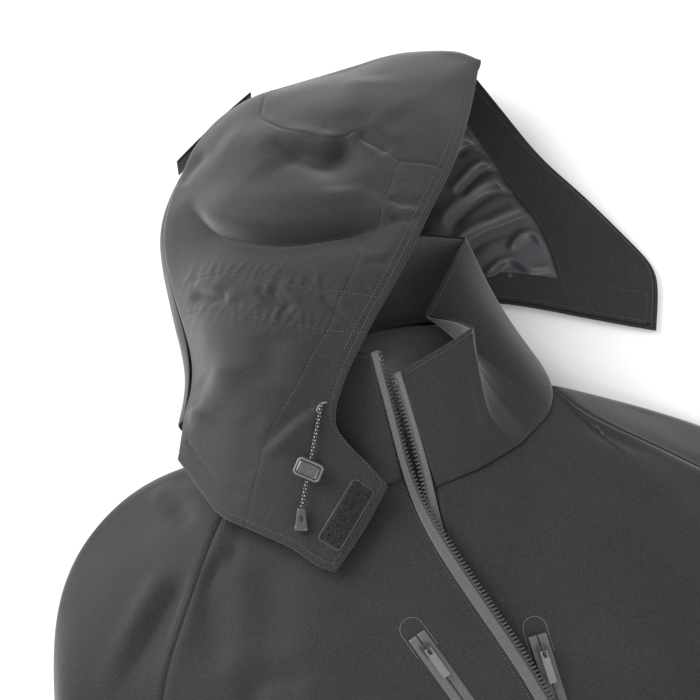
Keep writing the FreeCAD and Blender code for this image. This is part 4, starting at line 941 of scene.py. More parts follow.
def build_collar():
    """Outer shell and brushed inner face of the standing collar. Its left front corner is folded over."""
    grid = collar_grid()
    columns = grid.shape[1]
    index = np.linspace(0, len(COLLAR_BASE) - 1, columns)[None]
    v = np.clip(np.linspace(-COLLAR_TUCK, 1, grid.shape[0]), 0, 1)[:, None]
    bow = np.sin(np.pi * v**1.25) ** 0.8
    side_panel = bell(index - 9.4 - 0.3 * (1 - v), 0.55)
    past_fold = index - 10.72 + 0.1 * (1 - v)
    pleat = bell(past_fold, np.where(past_fold < 0, 0.75, 0.22))
    front_panel = bell(index - 12.2, 0.7)
    relief = bow * (7.0 * side_panel + 2.0 * front_panel) - 8.0 * pleat * np.sin(np.pi * v**0.7)
    fold_edge = bell(index - 11.0, np.where(index < 11.0, 0.25, 0.55))
    fold_edge = fold_edge * (5.0 * smooth(v / 0.3) + 9.0 * np.sin(np.pi * v**0.6))
    grid = grid - fold_edge[..., None] * (1.0, 0.0, 0.0)
    relief += waves(grid, 45, 1.0, 21) * bow
    relief += seam_dip(grid, ["low"], 0.8, 2.0) + topstitch_channel(grid, ["high"], COLLAR_STITCH, 0.2)
    outward = wound(grid, (0.2, -0.2, 0.1))
    flipped = not np.allclose(outward, grid)
    outer = lifted(outward, relief[:, ::-1] if flipped else relief)
    piece = cloth_mesh("collar", outer, SHELL_THICK, SHELL)
    finished(piece, "jacket", "shell_fabric", "collar_shell")
    inner = lifted(outer, -SHELL_THICK - 0.35)[2:-1, 2:-2]
    lining = cloth_mesh("collar_inside", inner, 0.8, FLEECE_PAINTED_LIGHT)
    finished(lining, "jacket", "collar_fleece", "collar_lining")
    stitches("collar_stitching", "jacket", "shell_fabric", [parallel(outer, "high", COLLAR_STITCH)], THREAD)


# ------------------------------------------------ front zip
TOOTH_PITCH = 2.9


def zip_path(side):
    row, collar_row, height = ((RIGHT_ROW, COLLAR_RIGHT_ROW, front_height) if side == "right"
                               else (LEFT_ROW, COLLAR_LEFT_ROW, left_front_height))
    plan = resample(row, 60)
    path = np.vstack([np.column_stack([plan, height(plan[:, 0], plan[:, 1])]), np.array(collar_row, float)])
    return resample(path, 22)


def zip_strip(side, start, stop, lift, rows=520, columns=7):
    offsets = np.linspace(start, stop, 4)
    path = zip_path(side)[:, None, :]
    poles = path + np.stack([offsets, 0 * offsets, 0 * offsets + lift], axis=1)[None]
    poles[..., 0] = path[..., 0] + (poles[..., 0] - path[..., 0]) * narrowing(path[..., 1])
    return wound(skin(poles, rows, columns), (0, 0, 1))


def tooth_mesh():
    """One moulded tooth about its root: a broad foot on the tape and a narrow head with a nose."""
    foot = pillow(rounded_outline(2.3, 2.1, 0.5, 2), [(-1.15, 0.3), (-0.8, 0), (0.8, 0), (1.2, 0.35)])
    head = pillow(rounded_outline(2.9, 1.35, 0.6, 2), [(-0.85, 0.2), (-0.6, 0), (0.6, 0), (0.9, 0.25)])
    return joined([(foot[0] + (-1.0, 0, 0), foot[1]), (head[0] + (0.9, 0, 0), head[1])])


def teeth_row(name, node, path, sideways, normals, phase=0.0, scale=1.0, pitch=TOOTH_PITCH, fitted=False):
    """A row of single teeth along a path. sideways points from the tape to the open edge."""
    unit_points, unit_faces = tooth_mesh()
    unit_points = np.array(unit_points) * scale
    steps = np.linalg.norm(np.diff(path, axis=0), axis=1)
    length = np.concatenate([[0], np.cumsum(steps)])
    parts = []
    for s in np.arange(pitch * (0.5 + phase), length[-1] - pitch * 0.4, pitch):
        at = [np.interp(s, length, path[:, k]) for k in range(3)]
        n = [np.interp(s, length, normals[:, k]) for k in range(3)]
        out = [np.interp(s, length, sideways[:, k]) for k in range(3)]
        wide = np.linalg.norm(out) / TEETH_WIDE if fitted else 1.0
        parts.append((placed(unit_points * (wide, 1, 1), at, out, n), unit_faces))
    points, faces = joined(parts)
    finished(solid_mesh(name, points, faces, TEETH), "jacket", "zip_teeth", node)


def build_front_zip():
    edge_gap = 0.3
    for side, sign in (("right", 1), ("left", -1)):
        tape = zip_strip(side, -sign * TAPE_WIDE, 0.0, 0.0)
        across = np.linspace(0, 1, tape.shape[1])[None]
        tape = lifted(tape, 0.25 * bell(across - (0.97 if sign > 0 else 0.03), 0.10))
        piece = cloth_mesh(f"front_zip_{side}_tape", tape, TAPE_THICK, TAPE)
        finished(piece, "jacket", "zip_tape", f"front_zip_tape_{side}")
        bead = zip_strip(side, sign * edge_gap, sign * (edge_gap + TEETH_WIDE),
                         (TEETH_THICK - TAPE_THICK) / 2)
        middle = bead.shape[1] // 2
        normals = grid_normals(bead)[:, middle]
        path = bead[:, middle] - normals * TEETH_THICK / 2
        sideways = (bead[:, -1] - bead[:, 0]) * sign
        teeth_row(f"front_zip_{side}_teeth", f"front_zip_teeth_{side}", path, sideways, normals,
                  phase=0.5 if sign < 0 else 0.0, fitted=True)
        cord_line = tape[:, -1 if sign > 0 else 0] - np.array([0, 0, 0.1])
        points, faces = tube(cord_line[::2], np.full(len(cord_line[::2]), 0.75), 8)
        piece = solid_mesh(f"front_zip_{side}_bead", points, faces, TEETH)
        finished(piece, "jacket", "zip_teeth")


# ------------------------------------------------ pocket zips
POCKETS = {
    "right_chest": ((-56, 158), (-26, 0), front_height, 160, True),
    "left_chest": ((20, 125), (-6, -33), left_front_height, 160, True),
    "right_hand": ((-150, -105), (-190, -270), front_height, 170, False),
    "left_hand": ((150, -105), (190, -270), left_front_height, 170, False),
}
POCKET_TAPE_WIDE = 13.0


def pocket_frame(name):
    """Start, length direction, sideways and normal of a pocket zip, as in the CAD."""
    top, bottom, height, long, garage = POCKETS[name]
    a = np.array([*top, float(height(np.array(top[0]), np.array(top[1])))])
    b = np.array([*bottom, float(height(np.array(bottom[0]), np.array(bottom[1])))])
    run = (b - a) / np.linalg.norm(b - a)
    across = np.cross((0, 0, 1.0), run)
    across /= np.linalg.norm(across)
    normal = np.cross(run, across)
    return a + normal * 0.9, run, across, normal, long, garage


def build_pocket(name, front_tree):
    base, run, across, normal, long, garage = pocket_frame(name)
    rows = 90

    def lane(offset, lift):
        """A line beside the zip that follows the front's cloth a little above it."""
        line = []
        for s in np.linspace(0, long, rows):
            p = base + run * s + across * offset
            hit, _, _, _ = front_tree.ray_cast(Vector((p[0], p[1], 400)), Vector((0, 0, -1)))
            z = hit.z if hit is not None else p[2]
            line.append((p[0], p[1], max(z + 0.15, min(p[2], z + 1.6)) + lift))
        return np.array(line)

    half = POCKET_TAPE_WIDE / 2
    for side, sign in (("near", -1), ("far", 1)):
        offsets = np.linspace(sign * 0.45, sign * half, 8)
        profile = (0.75, 1.0, 0.9, 0.75, 0.7, 0.65, 0.55, 0.3)
        grid = np.stack([lane(o, p) for o, p in zip(offsets, profile)], axis=1)
        piece = cloth_mesh(f"{name}_zip_{side}_lip", wound(grid, (0, 0, 1)), 0.6, TAPE)
        finished(piece, "jacket", "zip_tape", *([f"{name}_zip_tape"] if sign < 0 else []))
    path = lane(0.0, 0.55)[4:-3]
    sideways = np.repeat(across[None], len(path), axis=0)
    normals = np.repeat(normal[None], len(path), axis=0)
    teeth_row(f"{name}_coil", f"{name}_zip_coil", path, sideways, normals, scale=0.42, pitch=1.35)
    if garage:
        outline = []
        radius = 8.2
        for angle in np.linspace(math.pi / 2, 3 * math.pi / 2, 30):
            outline.append((-5 + radius * math.cos(angle), radius * math.sin(angle)))
        outline = [(13.0, radius)] + outline + [(13.0, -radius)]
        line = resample(outline, 110)
        ring = []
        for u, w in line:
            p = base + run * u + across * w
            hit, _, _, _ = front_tree.ray_cast(Vector((p[0], p[1], 400)), Vector((0, 0, -1)))
            ring.append((hit.x, hit.y, hit.z + 0.15))
        points, faces = tube(ring, np.full(len(ring), 0.32), 8, squash=0.7)
        piece = solid_mesh(f"{name}_welded_arch", points, faces, THREAD)
        finished(piece, "jacket", "shell_fabric", f"{name}_zip_garage")


BAG_WIDE, BAG_LONG = 118, 190
BAGS = {"right_chest": (-170, -35, front_height), "left_chest": (-16, -70, left_front_height),
        "right_hand": (-175, -320, front_height), "left_hand": (57, -320, left_front_height)}


def build_pocket_bag(name):
    """The pocket bag, close under its front."""
    x, y, height = BAGS[name]
    plan = np.stack(np.meshgrid(np.linspace(x, x + BAG_WIDE, 6), np.linspace(y, y + BAG_LONG, 6)), axis=-1)
    poles = np.dstack([plan, height(plan[..., 0], plan[..., 1]) - 6.5])
    grid = skin(poles, 60, 40)
    grid = wound(lifted(grid, np.clip(waves(grid, 40, 1.0, 61), -0.8, 0.8)), (0, 0, 1))
    piece = cloth_mesh(f"{name}_bag", grid, 0.9, BAG)
    finished(piece, "jacket", "satin_lining", f"{name}_pocket_bag")


# ------------------------------------------------ hood
# The hood lies on its left side behind the collar, its face opening towards +X.
HOOD_FOLD = [(-153, 351, 44), (-137, 376, 46), (-121, 399, 48), (-112, 424, 50), (-105, 474, 50),
             (-96, 512, 50), (-77, 542, 50), (-44, 574, 48), (-20, 589, 46), (5, 597, 44), (28, 598, 44)]
HOOD_TOP = [(28, 598, 44), (56, 594, 44), (95, 589, 46), (125, 585, 48), (147, 578, 50), (173, 561, 58),
            (185, 542, 66)]
HOOD_RIM = [(-88, 219, 89), (-58, 237, 91), (-31, 257, 95), (-37, 275, 101), (-45, 294, 108), (-46, 310, 114),
            (-30, 330, 122), (2, 356, 130), (38, 383, 132), (78, 418, 126), (118, 455, 111), (151, 495, 90),
            (185, 542, 66)]
HOOD_HEM = [(-153, 351, 44), (-149, 325, 58), (-143, 294, 72), (-128, 272, 82), (-109, 248, 88),
            (-97, 228, 89), (-88, 219, 89)]
FAR_RIM = [(222, 303, 4), (248, 345, 5), (221, 425, 14), (203, 464, 20), (190, 511, 34), (180, 536, 48)]
FAR_HEM = [(-112, 400, 4), (-80, 408, 4), (0, 410, 4), (70, 398, 4), (118, 384, 4), (134, 370, 5),
           (152, 350, 6), (177, 334, 6), (222, 303, 4)]
FOLD_REACH, HOOD_CROWN = 28.0, 34.0
RIM_CORNER = 2                 # the wing's sharp corner in the rim

# Lines sewn into the upper side, in plan.
MAIN_VALLEY = [(-69, 529), (-71, 511), (-67, 488), (-52, 466), (-36, 452), (-18, 442), (12, 432),
               (42, 424), (74, 415)]
CROWN_SEAM = [(28, 597), (16, 576), (8, 558), (16, 532), (29, 515), (40, 505), (52, 504), (60, 504),
              (66, 492), (74, 479), (78, 467), (91, 459), (103, 451)]
CHANNEL_HIGH = [(-99, 466), (-77, 447), (-62, 434), (-41, 413), (-18, 394), (0, 383), (19, 370)]
CHANNEL_LOW = [(-105, 446), (-85, 417), (-64, 395), (-41, 377), (-24, 365), (-2, 353)]
FACING_SEAM = [(78, 467), (63, 449), (52, 440), (43, 426), (24, 418), (21, 409), (4, 392), (-9, 382),
               (-22, 368), (-39, 357), (-57, 343), (-79, 329), (-96, 318), (-110, 301), (-130, 276)]
HEM_SEAM = [(-142, 358), (-140, 334), (-134, 312), (-121, 289), (-112, 276)]

# Folds of the upper side: path, depth, width of a side, height of the bank on its left.
HOOD_FOLDS = [
    (MAIN_VALLEY, 12.0, 6.0, 0.0, 3.2),
    ([(-52, 528), (-46, 495), (-28, 476), (-5, 464), (25, 454), (55, 446)], -5.0, 18, 0.0),
    ([(-2, 532), (16, 510), (30, 496), (44, 494), (58, 500)], 10.0, 6.5, 3.0, 2.6),
    ([(58, 515), (74, 540), (96, 572)], -1.6, 12, 0.0),
    ([(-72, 548), (-58, 556), (-36, 560)], 3.5, 8, 2.0),
    ([(60, 504), (68, 490), (76, 474)], 3.0, 6, 1.0),
    ([(-88, 384), (-104, 375), (-121, 369), (-135, 358)], -4.5, 15, 0.0),
    ([(-61, 384), (-71, 365), (-83, 350)], 2.6, 12, 0.8),
    ([(-110, 392), (-118, 380), (-128, 372)], 2.2, 8, 1.0),
    ([(-92, 345), (-104, 322), (-112, 300)], 2.4, 11, 0.6),
    ([(36, 500), (32, 478), (27, 455)], 2.4, 14, 0.5),
    ([(-30, 560), (-10, 530), (0, 500)], -3.0, 22, 0.0),
    ([(40, 470), (60, 440), (66, 425)], 1.8, 7, 0.8),
    ([(100, 560), (90, 530), (96, 500)], -2.0, 20, 0.0),
    ([(-98, 452), (-87, 435), (-74, 424)], 4.0, 4.5, 1.6),
    ([(-92, 440), (-80, 422), (-68, 410)], 1.8, 3.5, 0.8),
    ([(-48, 414), (-47, 402), (-42, 388)], 3.6, 4.0, 1.4),
    ([(-56, 420), (-54, 408), (-50, 392)], 1.6, 3.0, 0.8),
    ([(-20, 392), (-16, 380), (-10, 368)], 1.2, 3.0, 0.6),
    ([(0, 380), (4, 372), (6, 364)], 0.9, 2.6, 0.5),
]
# Short creases close to the rim, in the same form.
RIM_FOLDS = [
    ([(-50, 325), (-60, 324), (-72, 323), (-88, 320), (-104, 318)], 2.6, 3.5, 1.6, 1.8),
    ([(52, 427), (59, 421), (68, 414)], 2.4, 2.6, 1.2, 1.5),
    ([(56, 443), (66, 434), (78, 424)], 1.8, 3.0, 1.0, 1.5),
    ([(18, 402), (28, 396), (38, 393)], 1.6, 3.0, 0.8, 1.5),
]
PUCKERS = 26                   # small gathers along the sewn lines
HOOD_STITCH = 4.5              # distance of the stitch row from the hood's edge
HEM_FACING = 13.0


def hood_upper_poles(columns=9, rows=16):
    plan = coons(resample(HOOD_HEM, columns), resample(HOOD_TOP, columns), resample(HOOD_FOLD, rows),
                 resample(HOOD_RIM, rows))
    v = np.linspace(0, 1, rows)[:, None]
    u = np.linspace(0, 1, columns)[None]
    fullness = HOOD_CROWN * np.minimum(1.0, 4.0 * (1.0 - v)) ** 0.6 * np.minimum(1.0, 0.1 + 4.0 * v)
    plan[..., 2] += fullness * np.clip(np.sin(np.pi * u**0.85), 0.0, None) ** 0.9
    return plan


def puckers(grid, path, count, reach, height, rng):
    """Small gathers that run across a sewn line, each with its own place, length and depth."""
    line = catmull(path, 12)
    relief = np.zeros(grid.shape[:2])
    for share in np.linspace(0.03, 0.97, count):
        at = along(line, [np.clip(share + rng.uniform(-0.015, 0.015), 0, 1)])[0]
        ahead = along(line, [min(1.0, share + 0.02)])[0]
        flow = ahead - at
        flow = flow / max(np.linalg.norm(flow), 1e-6)
        slant = rng.uniform(-0.5, 0.5)
        across = np.array([-flow[1], flow[0]]) + slant * flow
        across /= np.linalg.norm(across)
        dx, dy = grid[..., 0] - at[0], grid[..., 1] - at[1]
        lengthwise = dx * across[0] + dy * across[1]
        sideways = dx * across[1] - dy * across[0]
        long = reach * rng.uniform(0.6, 1.4)
        relief += height * rng.uniform(0.4, 1.0) * bell(sideways, 2.2) * bell(lengthwise - long * 0.4, long)
    return relief


def build_hood_upper():
    grid = skin(hood_upper_poles(), 330, 250)
    rim = curve(HOOD_RIM, (RIM_CORNER,))
    grid = edged(grid, low=curve(HOOD_HEM), right=rim, left=curve(HOOD_FOLD), high=curve(HOOD_TOP),
                 reach=0.16)
    grid = wound(grid, (0, 0, 1))
    rim_side = "right" if grid[10, -1, 0] > grid[10, 0, 0] else "left"
    fold_side = "left" if rim_side == "right" else "right"
    relief = waves(grid, 80, 3.0, 31) + waves(grid, 34, 0.7, 32)
    for path, *shape in HOOD_FOLDS:
        relief += fold(grid, path, *shape)
    relief += crease(grid, MAIN_VALLEY, 4.0, 3.2)
    rng = random.Random(SEED + 1)
    relief += puckers(grid, CHANNEL_HIGH, PUCKERS, 9, 0.7, rng)
    relief += puckers(grid, CHANNEL_LOW, PUCKERS, 9, 0.7, rng)
    relief += puckers(grid, FACING_SEAM, PUCKERS, 6, 0.35, rng)
    rim_distance = edge_distance(grid, [rim_side])
    relief *= 0.2 + 0.8 * smooth(rim_distance / 24.0)
    relief *= smooth(edge_distance(grid, ["low", "high"]) / 12.0)
    relief *= 0.35 + 0.65 * smooth(edge_distance(grid, [fold_side]) / 20.0)
    wing = 1.0 - smooth((grid[..., 1] - 300.0) / 40.0)
    wing *= smooth((grid[..., 0] + 125.0) / 30.0)
    relief *= 1.0 - 0.85 * wing
    for path, *shape in RIM_FOLDS:
        relief += fold(grid, path, *shape) * smooth(rim_distance / 6.0)
    for path in (CHANNEL_HIGH, CHANNEL_LOW, FACING_SEAM, HEM_SEAM):
        relief += groove(grid, path, 0.45, 1.0)
    relief += groove(grid, CROWN_SEAM, 0.9, 1.1)
    relief += groove(grid, HEM_SEAM, 0.6, 1.2)
    for edge in (rim_side, "low"):
        relief += topstitch_channel(grid, [edge], HOOD_STITCH, 0.3)
    grid = lifted(grid, relief)
    piece = cloth_mesh("hood_upper_side", grid, SHELL_THICK, SHELL)
    finished(piece, "hood", "shell_fabric", "hood_right_panel")
    tree = tree_of(grid)
    rows = [dropped(tree, path) for path in (CHANNEL_HIGH, CHANNEL_LOW, FACING_SEAM, HEM_SEAM[:-1])]
    rows += [parallel(grid, rim_side, HOOD_STITCH)[2:-2], parallel(grid, "low", HOOD_STITCH)[2:-2]]
    rows += [parallel(grid, rim_side, 2 * HOOD_STITCH)[120:-2]]
    stitches("hood_stitching", "hood", "shell_fabric", rows, THREAD)

    inside = lifted(grid, -SHELL_THICK - 3.6)[6:-6, 8:-8]
    inside = inside[:, :-22] if rim_side == "right" else inside[:, 22:]
    lining = cloth_mesh("hood_upper_satin", inside, LINING_THICK, SATIN)
    finished(lining, "hood", "satin_lining", "hood_right_lining")
    facing_columns = slice(-38, -6) if rim_side == "right" else slice(6, 38)
    strip = lifted(grid, -SHELL_THICK - 0.4)[4:-4, facing_columns]
    facing = cloth_mesh("hood_upper_facing", strip, LINING_THICK, SHELL)
    finished(facing, "hood", "shell_fabric", "hood_brim_stiffener")
    return tree


def fold_line(count=20):
    """The fold from above the shoulder to the peak, with the outward direction in plan."""
    line = resample(HOOD_FOLD[1:] + HOOD_TOP[1:], count)
    flow = np.zeros_like(line)
    flow[1:-1] = line[2:] - line[:-2]
    flow[0], flow[-1] = line[1] - line[0], line[-1] - line[-2]
    flow[:, 2] = 0
    flow /= np.linalg.norm(flow, axis=1, keepdims=True)
    return line, np.column_stack([-flow[:, 1], flow[:, 0], 0 * flow[:, 0]])


def under_edge(line, outward):
    """Where the centre panel ends under the fold."""
    share = np.linspace(0, 1, len(line))
    reach = FOLD_REACH * (1.0 - 0.75 * smooth((share - 0.78) / 0.22))
    height = 3.6 + (line[:, 2] - 18.0 - 3.6) * smooth((share - 0.82) / 0.18)
    return np.column_stack([line[:, :2], height]) - outward * reach[:, None]


def build_hood_centre():
    """The middle panel, which turns under the fold."""
    line, outward = fold_line()
    under = under_edge(line, outward)
    share = np.linspace(0, 1, len(line))
    bulge = (7.0 * (1.0 - 0.6 * share))[:, None]
    top = line - (0, 0, 1.2) + outward * 0.8
    span = (top[:, 2] - under[:, 2])[:, None] * np.array([0, 0, 1.0])
    plain = np.column_stack([line[:, :2], top[:, 2]])
    poles = np.stack([top, plain - 0.25 * span + outward * bulge, plain - 0.65 * span + outward * bulge,
                      np.column_stack([line[:, :2], under[:, 2]]) + outward, under], axis=1)
    grid = skin(poles, 260, 60)
    middle = grid.shape[0] // 2
    look = grid_normals(grid)[middle, 20] @ outward[10]
    grid = grid if look > 0 else grid[:, ::-1]
    relief = waves(grid, 50, 2.2, 41) * smooth(edge_distance(grid, ["left", "right", "low", "high"]) / 10.0)
    grid = lifted(grid, relief)
    piece = cloth_mesh("hood_middle_panel", grid, SHELL_THICK, SHELL)
    finished(piece, "hood", "shell_fabric", "hood_centre_panel")


# Folds of the satin on the lower side, and the lines of its facing, in plan.
SATIN_FOLDS = [
    ([(108, 384), (122, 390), (132, 394), (143, 396), (154, 382), (180, 374)], 5.5, 3.0, 3.5, 1.6),
    ([(124, 374), (136, 381), (146, 379), (156, 371), (172, 367)], -3.0, 2.8, 0.0),
    ([(148, 408), (161, 416), (171, 415), (177, 402), (180, 388)], -3.5, 3.2, 0.0),
    ([(112, 424), (130, 430), (152, 430), (176, 427), (186, 416)], 5.0, 4.0, 3.0, 2.0),
    ([(146, 500), (160, 501), (172, 488), (175, 466)], 3.5, 4.0, 2.0),
    ([(132, 468), (150, 475), (162, 478), (178, 474)], 4.5, 3.5, 2.5),
    ([(112, 446), (140, 457), (160, 459), (178, 450)], 4.0, 4.5, 2.5),
    ([(60, 440), (90, 455), (110, 480)], 3.0, 9, 2.0),
    ([(40, 480), (80, 500), (120, 510)], 3.0, 10, 2.0),
]
FAR_FACING = [(150, 562), (164, 520), (171, 478), (174, 452), (179, 426), (179, 400), (173, 368), (163, 330)]


def beyond_line(grid, path, far_side, count=44):
    """The part of every row of a net past a plan line, out to just inside its far edge."""
    distance, side, _ = line_distance(grid[..., 0], grid[..., 1], path)
    past = distance * side
    if far_side == "left":
        grid, past = grid[:, ::-1], past[:, ::-1]
    columns = np.arange(grid.shape[1])
    rows = []
    for points, beyond in zip(grid, past):
        first = max(1, int(np.argmax(beyond > 0))) if (beyond > 0).any() else int(0.85 * len(columns))
        start = first - np.clip(beyond[first] / max(beyond[first] - beyond[first - 1], 1e-6), 0, 1)
        picked = np.linspace(start, len(columns) - 2, count)
        rows.append(np.column_stack([np.interp(picked, columns, points[:, k]) for k in range(3)]))
    return np.array(rows)


def build_hood_lower():
    """The lower side on the ground: shell outside, satin inside, and a facing of shell cloth at its edge."""
    line, outward = fold_line()
    inner_edge = under_edge(line, outward) - outward * 1.2
    corner = 13
    left = resample(inner_edge[:corner], 12)
    high = resample(np.vstack([inner_edge[corner - 1:-1], FAR_RIM[-1]]), 8)
    hem = np.vstack([inner_edge[:1], FAR_HEM[1:]])
    poles = coons(resample(hem, 8), high, left, resample(FAR_RIM, 12))
    grid = wound(skin(poles, 240, 200), (0, 0, 1))
    far_side = "right" if grid[100, -1, 0] > grid[100, 0, 0] else "left"
    rim_distance, hem_distance = edge_distance(grid, [far_side]), edge_distance(grid, ["low"])
    relief = waves(grid, 70, 1.2, 51) * smooth(np.minimum(rim_distance, hem_distance) / 10.0)
    shell = lifted(grid, np.clip(relief, -0.6, 2.0))
    piece = cloth_mesh("hood_lower_side", shell, SHELL_THICK, SHELL)
    finished(piece, "hood", "shell_fabric", "hood_left_panel")

    relief = waves(grid, 55, 2.6, 52) + 0.8 * np.abs(waves(grid, 24, 1.8, 53))
    for path, *shape in SATIN_FOLDS:
        relief += fold(grid, path, *shape, ends=(0.12, 0.12))
    relief = np.maximum(relief, -2.6) + 3.4
    from_facing, side, _ = line_distance(grid[..., 0], grid[..., 1], FAR_FACING)
    inside = smooth(np.maximum(-side * from_facing, 0.0) / 6.0) * smooth((hem_distance - 19.0) / 6.0)
    satin = lifted(grid, 0.9 + (relief + 0.6) * inside)
    lining = cloth_mesh("hood_lower_satin", satin[4:-4, 4:-4], LINING_THICK, SATIN)
    finished(lining, "hood", "satin_lining", "hood_left_lining")
    rim_strip = beyond_line(lifted(grid, 2.2 + 0.7 * bell(from_facing, 2.0)), FAR_FACING, far_side)
    facing = cloth_mesh("hood_lower_facing", wound(rim_strip[2:-2], (0, 0, 1)), LINING_THICK, SHELL)
    finished(facing, "hood", "shell_fabric")
    mean_length = np.linalg.norm(np.diff(grid, axis=0), axis=2).sum(axis=0).mean()
    hem_rows = int(HEM_FACING / (mean_length / grid.shape[0]))
    hem_strip = lifted(grid, 2.6)[1:hem_rows, 2:-2]
    hem_facing = cloth_mesh("hood_lower_hem_facing", hem_strip, LINING_THICK, SHELL)
    finished(hem_facing, "hood", "shell_fabric")
    rows = [parallel(lifted(grid, 3.0), far_side, HOOD_STITCH),
            parallel(lifted(grid, 3.2), "low", HOOD_STITCH)]
    stitches("hood_lower_stitching", "hood", "shell_fabric", rows, THREAD)


# ------------------------------------------------ drawcord, cordlock and hook patch
CORD_ROUTE = [(-50.6, 322.33, 119.41), (-60.5, 308.0, 116.15), (-91.4, 266.4, 99.98)]
CORD_LENGTH, CORD_DIAMETER = 72.1, 2.8
LOCK_SHARE, LOCK_FLOOR = 0.51, -3.4
LOCK_TILT = -12.0              # degrees that the lock has turned on the cord
LOCK_WIDE, LOCK_LONG, LOCK_TALL, LOCK_WALL = 19.6, 13.0, 9.0, 1.7
HOOK_MIDDLE, HOOK_RUN = (-65.3, 250), (-0.82, -0.57)


def surface_turn(tree, x, y, flat):
    """A point on a surface, its normal, and the direction on it that runs along a plan direction."""
    hit, normal, _, _ = tree.ray_cast(Vector((x, y, 400)), Vector((0, 0, -1)))
    normal = np.array(normal if normal.z > 0 else -normal)
    run = np.array([*flat, 0.0])
    run -= normal * (run @ normal)
    return np.array(hit), normal, run / np.linalg.norm(run)


def route_points():
    """Points of the cord's smooth line, read from a NURBS spline through its route."""
    data = bpy.data.curves.new("cord_route", "CURVE")
    data.dimensions = "3D"
    data.resolution_u = 24
    spline = data.splines.new("NURBS")
    spline.points.add(len(CORD_ROUTE) - 1)
    for point, place in zip(spline.points, CORD_ROUTE):
        point.co = (*[k * MM for k in place], 1.0)
    spline.order_u = 3
    spline.use_endpoint_u = True
    carrier = bpy.data.objects.new("cord_route", data)
    bpy.context.scene.collection.objects.link(carrier)
    bpy.context.view_layer.update()
    mesh = bpy.data.meshes.new_from_object(carrier.evaluated_get(bpy.context.evaluated_depsgraph_get()))
    points = np.array([v.co[:] for v in mesh.vertices]) / MM
    bpy.data.objects.remove(carrier)
    bpy.data.meshes.remove(mesh)
    return points


def build_cord():
    """A twisted two-colour cord: light and dark strands round a dark core, with its lock and its end."""
    path = resample(route_points(), 150)
    strands = [tube(path, np.full(len(path), 1.12), 12)]
    lengths = np.linspace(0, CORD_LENGTH, len(path))
    flow = np.gradient(path, axis=0)
    flow /= np.linalg.norm(flow, axis=1, keepdims=True)
    side = np.cross(flow, (0, 0, 1.0))
    side /= np.linalg.norm(side, axis=1, keepdims=True)
    up = np.cross(side, flow)
    core_faces = len(strands[0][1])
    pitch, around, orbit = 2.4, 3, 0.85
    for k in range(int(CORD_LENGTH / pitch)):
        for n in range(around):
            turn = 2 * math.pi * (n + 0.5 * (k % 2)) / around
            reach = np.linspace(-0.55, 0.55, 5)
            spots = np.clip(pitch * (k + 0.5) + reach * 1.5, 0, CORD_LENGTH)
            angles = turn + reach * (0.9 if k % 2 else -0.9)
            places = [np.array([np.interp(s, lengths, grid[:, i]) for i in range(3)]) for s in spots
                      for grid in (path, side, up)]
            bead = [middle + orbit * (out * math.cos(a) + above * math.sin(a))
                    for a, middle, out, above in zip(angles, places[::3], places[1::3], places[2::3])]
            strands.append(tube(bead, [0.16, 0.36, 0.43, 0.36, 0.16], 6))
    points, faces = joined(strands)
    cord = solid_mesh("drawcord_line", points, faces, CORD_DARK, CORD_LIGHT)
    for polygon in cord.data.polygons:
        polygon.material_index = 1 if polygon.index >= core_faces else 0
    finished(cord, "hood", "cord", "drawcord")

    run = path[-1] - path[-20]
    run /= np.linalg.norm(run)
    end = build_cord_end(path[-1], run)
    frame_piece, button, spring = build_cordlock()


def build_cord_end(at, run):
    """The moulded end: it widens towards a lip, and the oval dent on top is a thin dark pad of painted shade.
    """
    long, tall = 16.0, 5.4
    run = run + (0.2, 0.0, 0.0)
    run /= np.linalg.norm(run)
    stations = [(0.0, 2.4, 0.72), (0.7, 2.9, 0.95), (4.0, 3.3, 1.0), (9.0, 3.85, 1.0), (12.9, 4.2, 0.94),
                (13.2, 4.75, 1.06), (15.3, 4.8, 1.04), (long, 4.3, 0.86)]
    points = []
    sides = 28
    for x, half, high in stations:
        for k in range(sides):
            angle = 2 * math.pi * k / sides
            c, s = math.cos(angle), math.sin(angle)
            squareness = 0.42
            y = half * math.copysign(abs(c) ** squareness, c)
            z = tall / 2 * high * math.copysign(abs(s) ** squareness, s)
            points.append((x, y, z))
    faces = grid_faces(len(stations), sides, closed=True)
    faces.append(tuple(reversed(range(sides))))
    last = (len(stations) - 1) * sides
    faces.append(tuple(last + k for k in range(sides)))
    up = np.cross(run, np.cross((0, 0, 1.0), run))
    piece = solid_mesh("cord_end_fitting", placed(points, at - run * 0.3, run, up), faces, LOCK_PLASTIC)
    smooth_more = piece.modifiers.new("smooth", "SUBSURF")
    smooth_more.levels = smooth_more.render_levels = 1
    # Painted shade: the dent is not cut; a thin dark pad on top stands for the shade inside it.
    recess_points, recess_faces = pillow(
        rounded_outline(4.6, 2.6, 1.25),
        [(tall / 2 - 0.5, 0.2), (tall / 2 + 0.05, 0.0), (tall / 2 + 0.1, 0.25)])
    recess = solid_mesh("cord_end_recess_shade", placed(recess_points, at + run * 7.0, run, up), recess_faces,
                        CORD_DARK)
    finished(recess, "hood", "lock_plastic")
    return finished(piece, "hood", "lock_plastic", "cord_end")


def ring_solid(profile):
    """A closed frame from a list of (outline, height) loops that run round its section."""
    count = len(profile[0][0])
    points = [(x, y, z) for outline, z in profile for x, y in outline]
    faces = []
    loops = len(profile)
    for j in range(loops):
        for i in range(count):
            a, b = j * count + i, j * count + (i + 1) % count
            c, d = ((j + 1) % loops) * count + (i + 1) % count, ((j + 1) % loops) * count + i
            faces.append((a, b, c, d))
    return np.array(points), faces


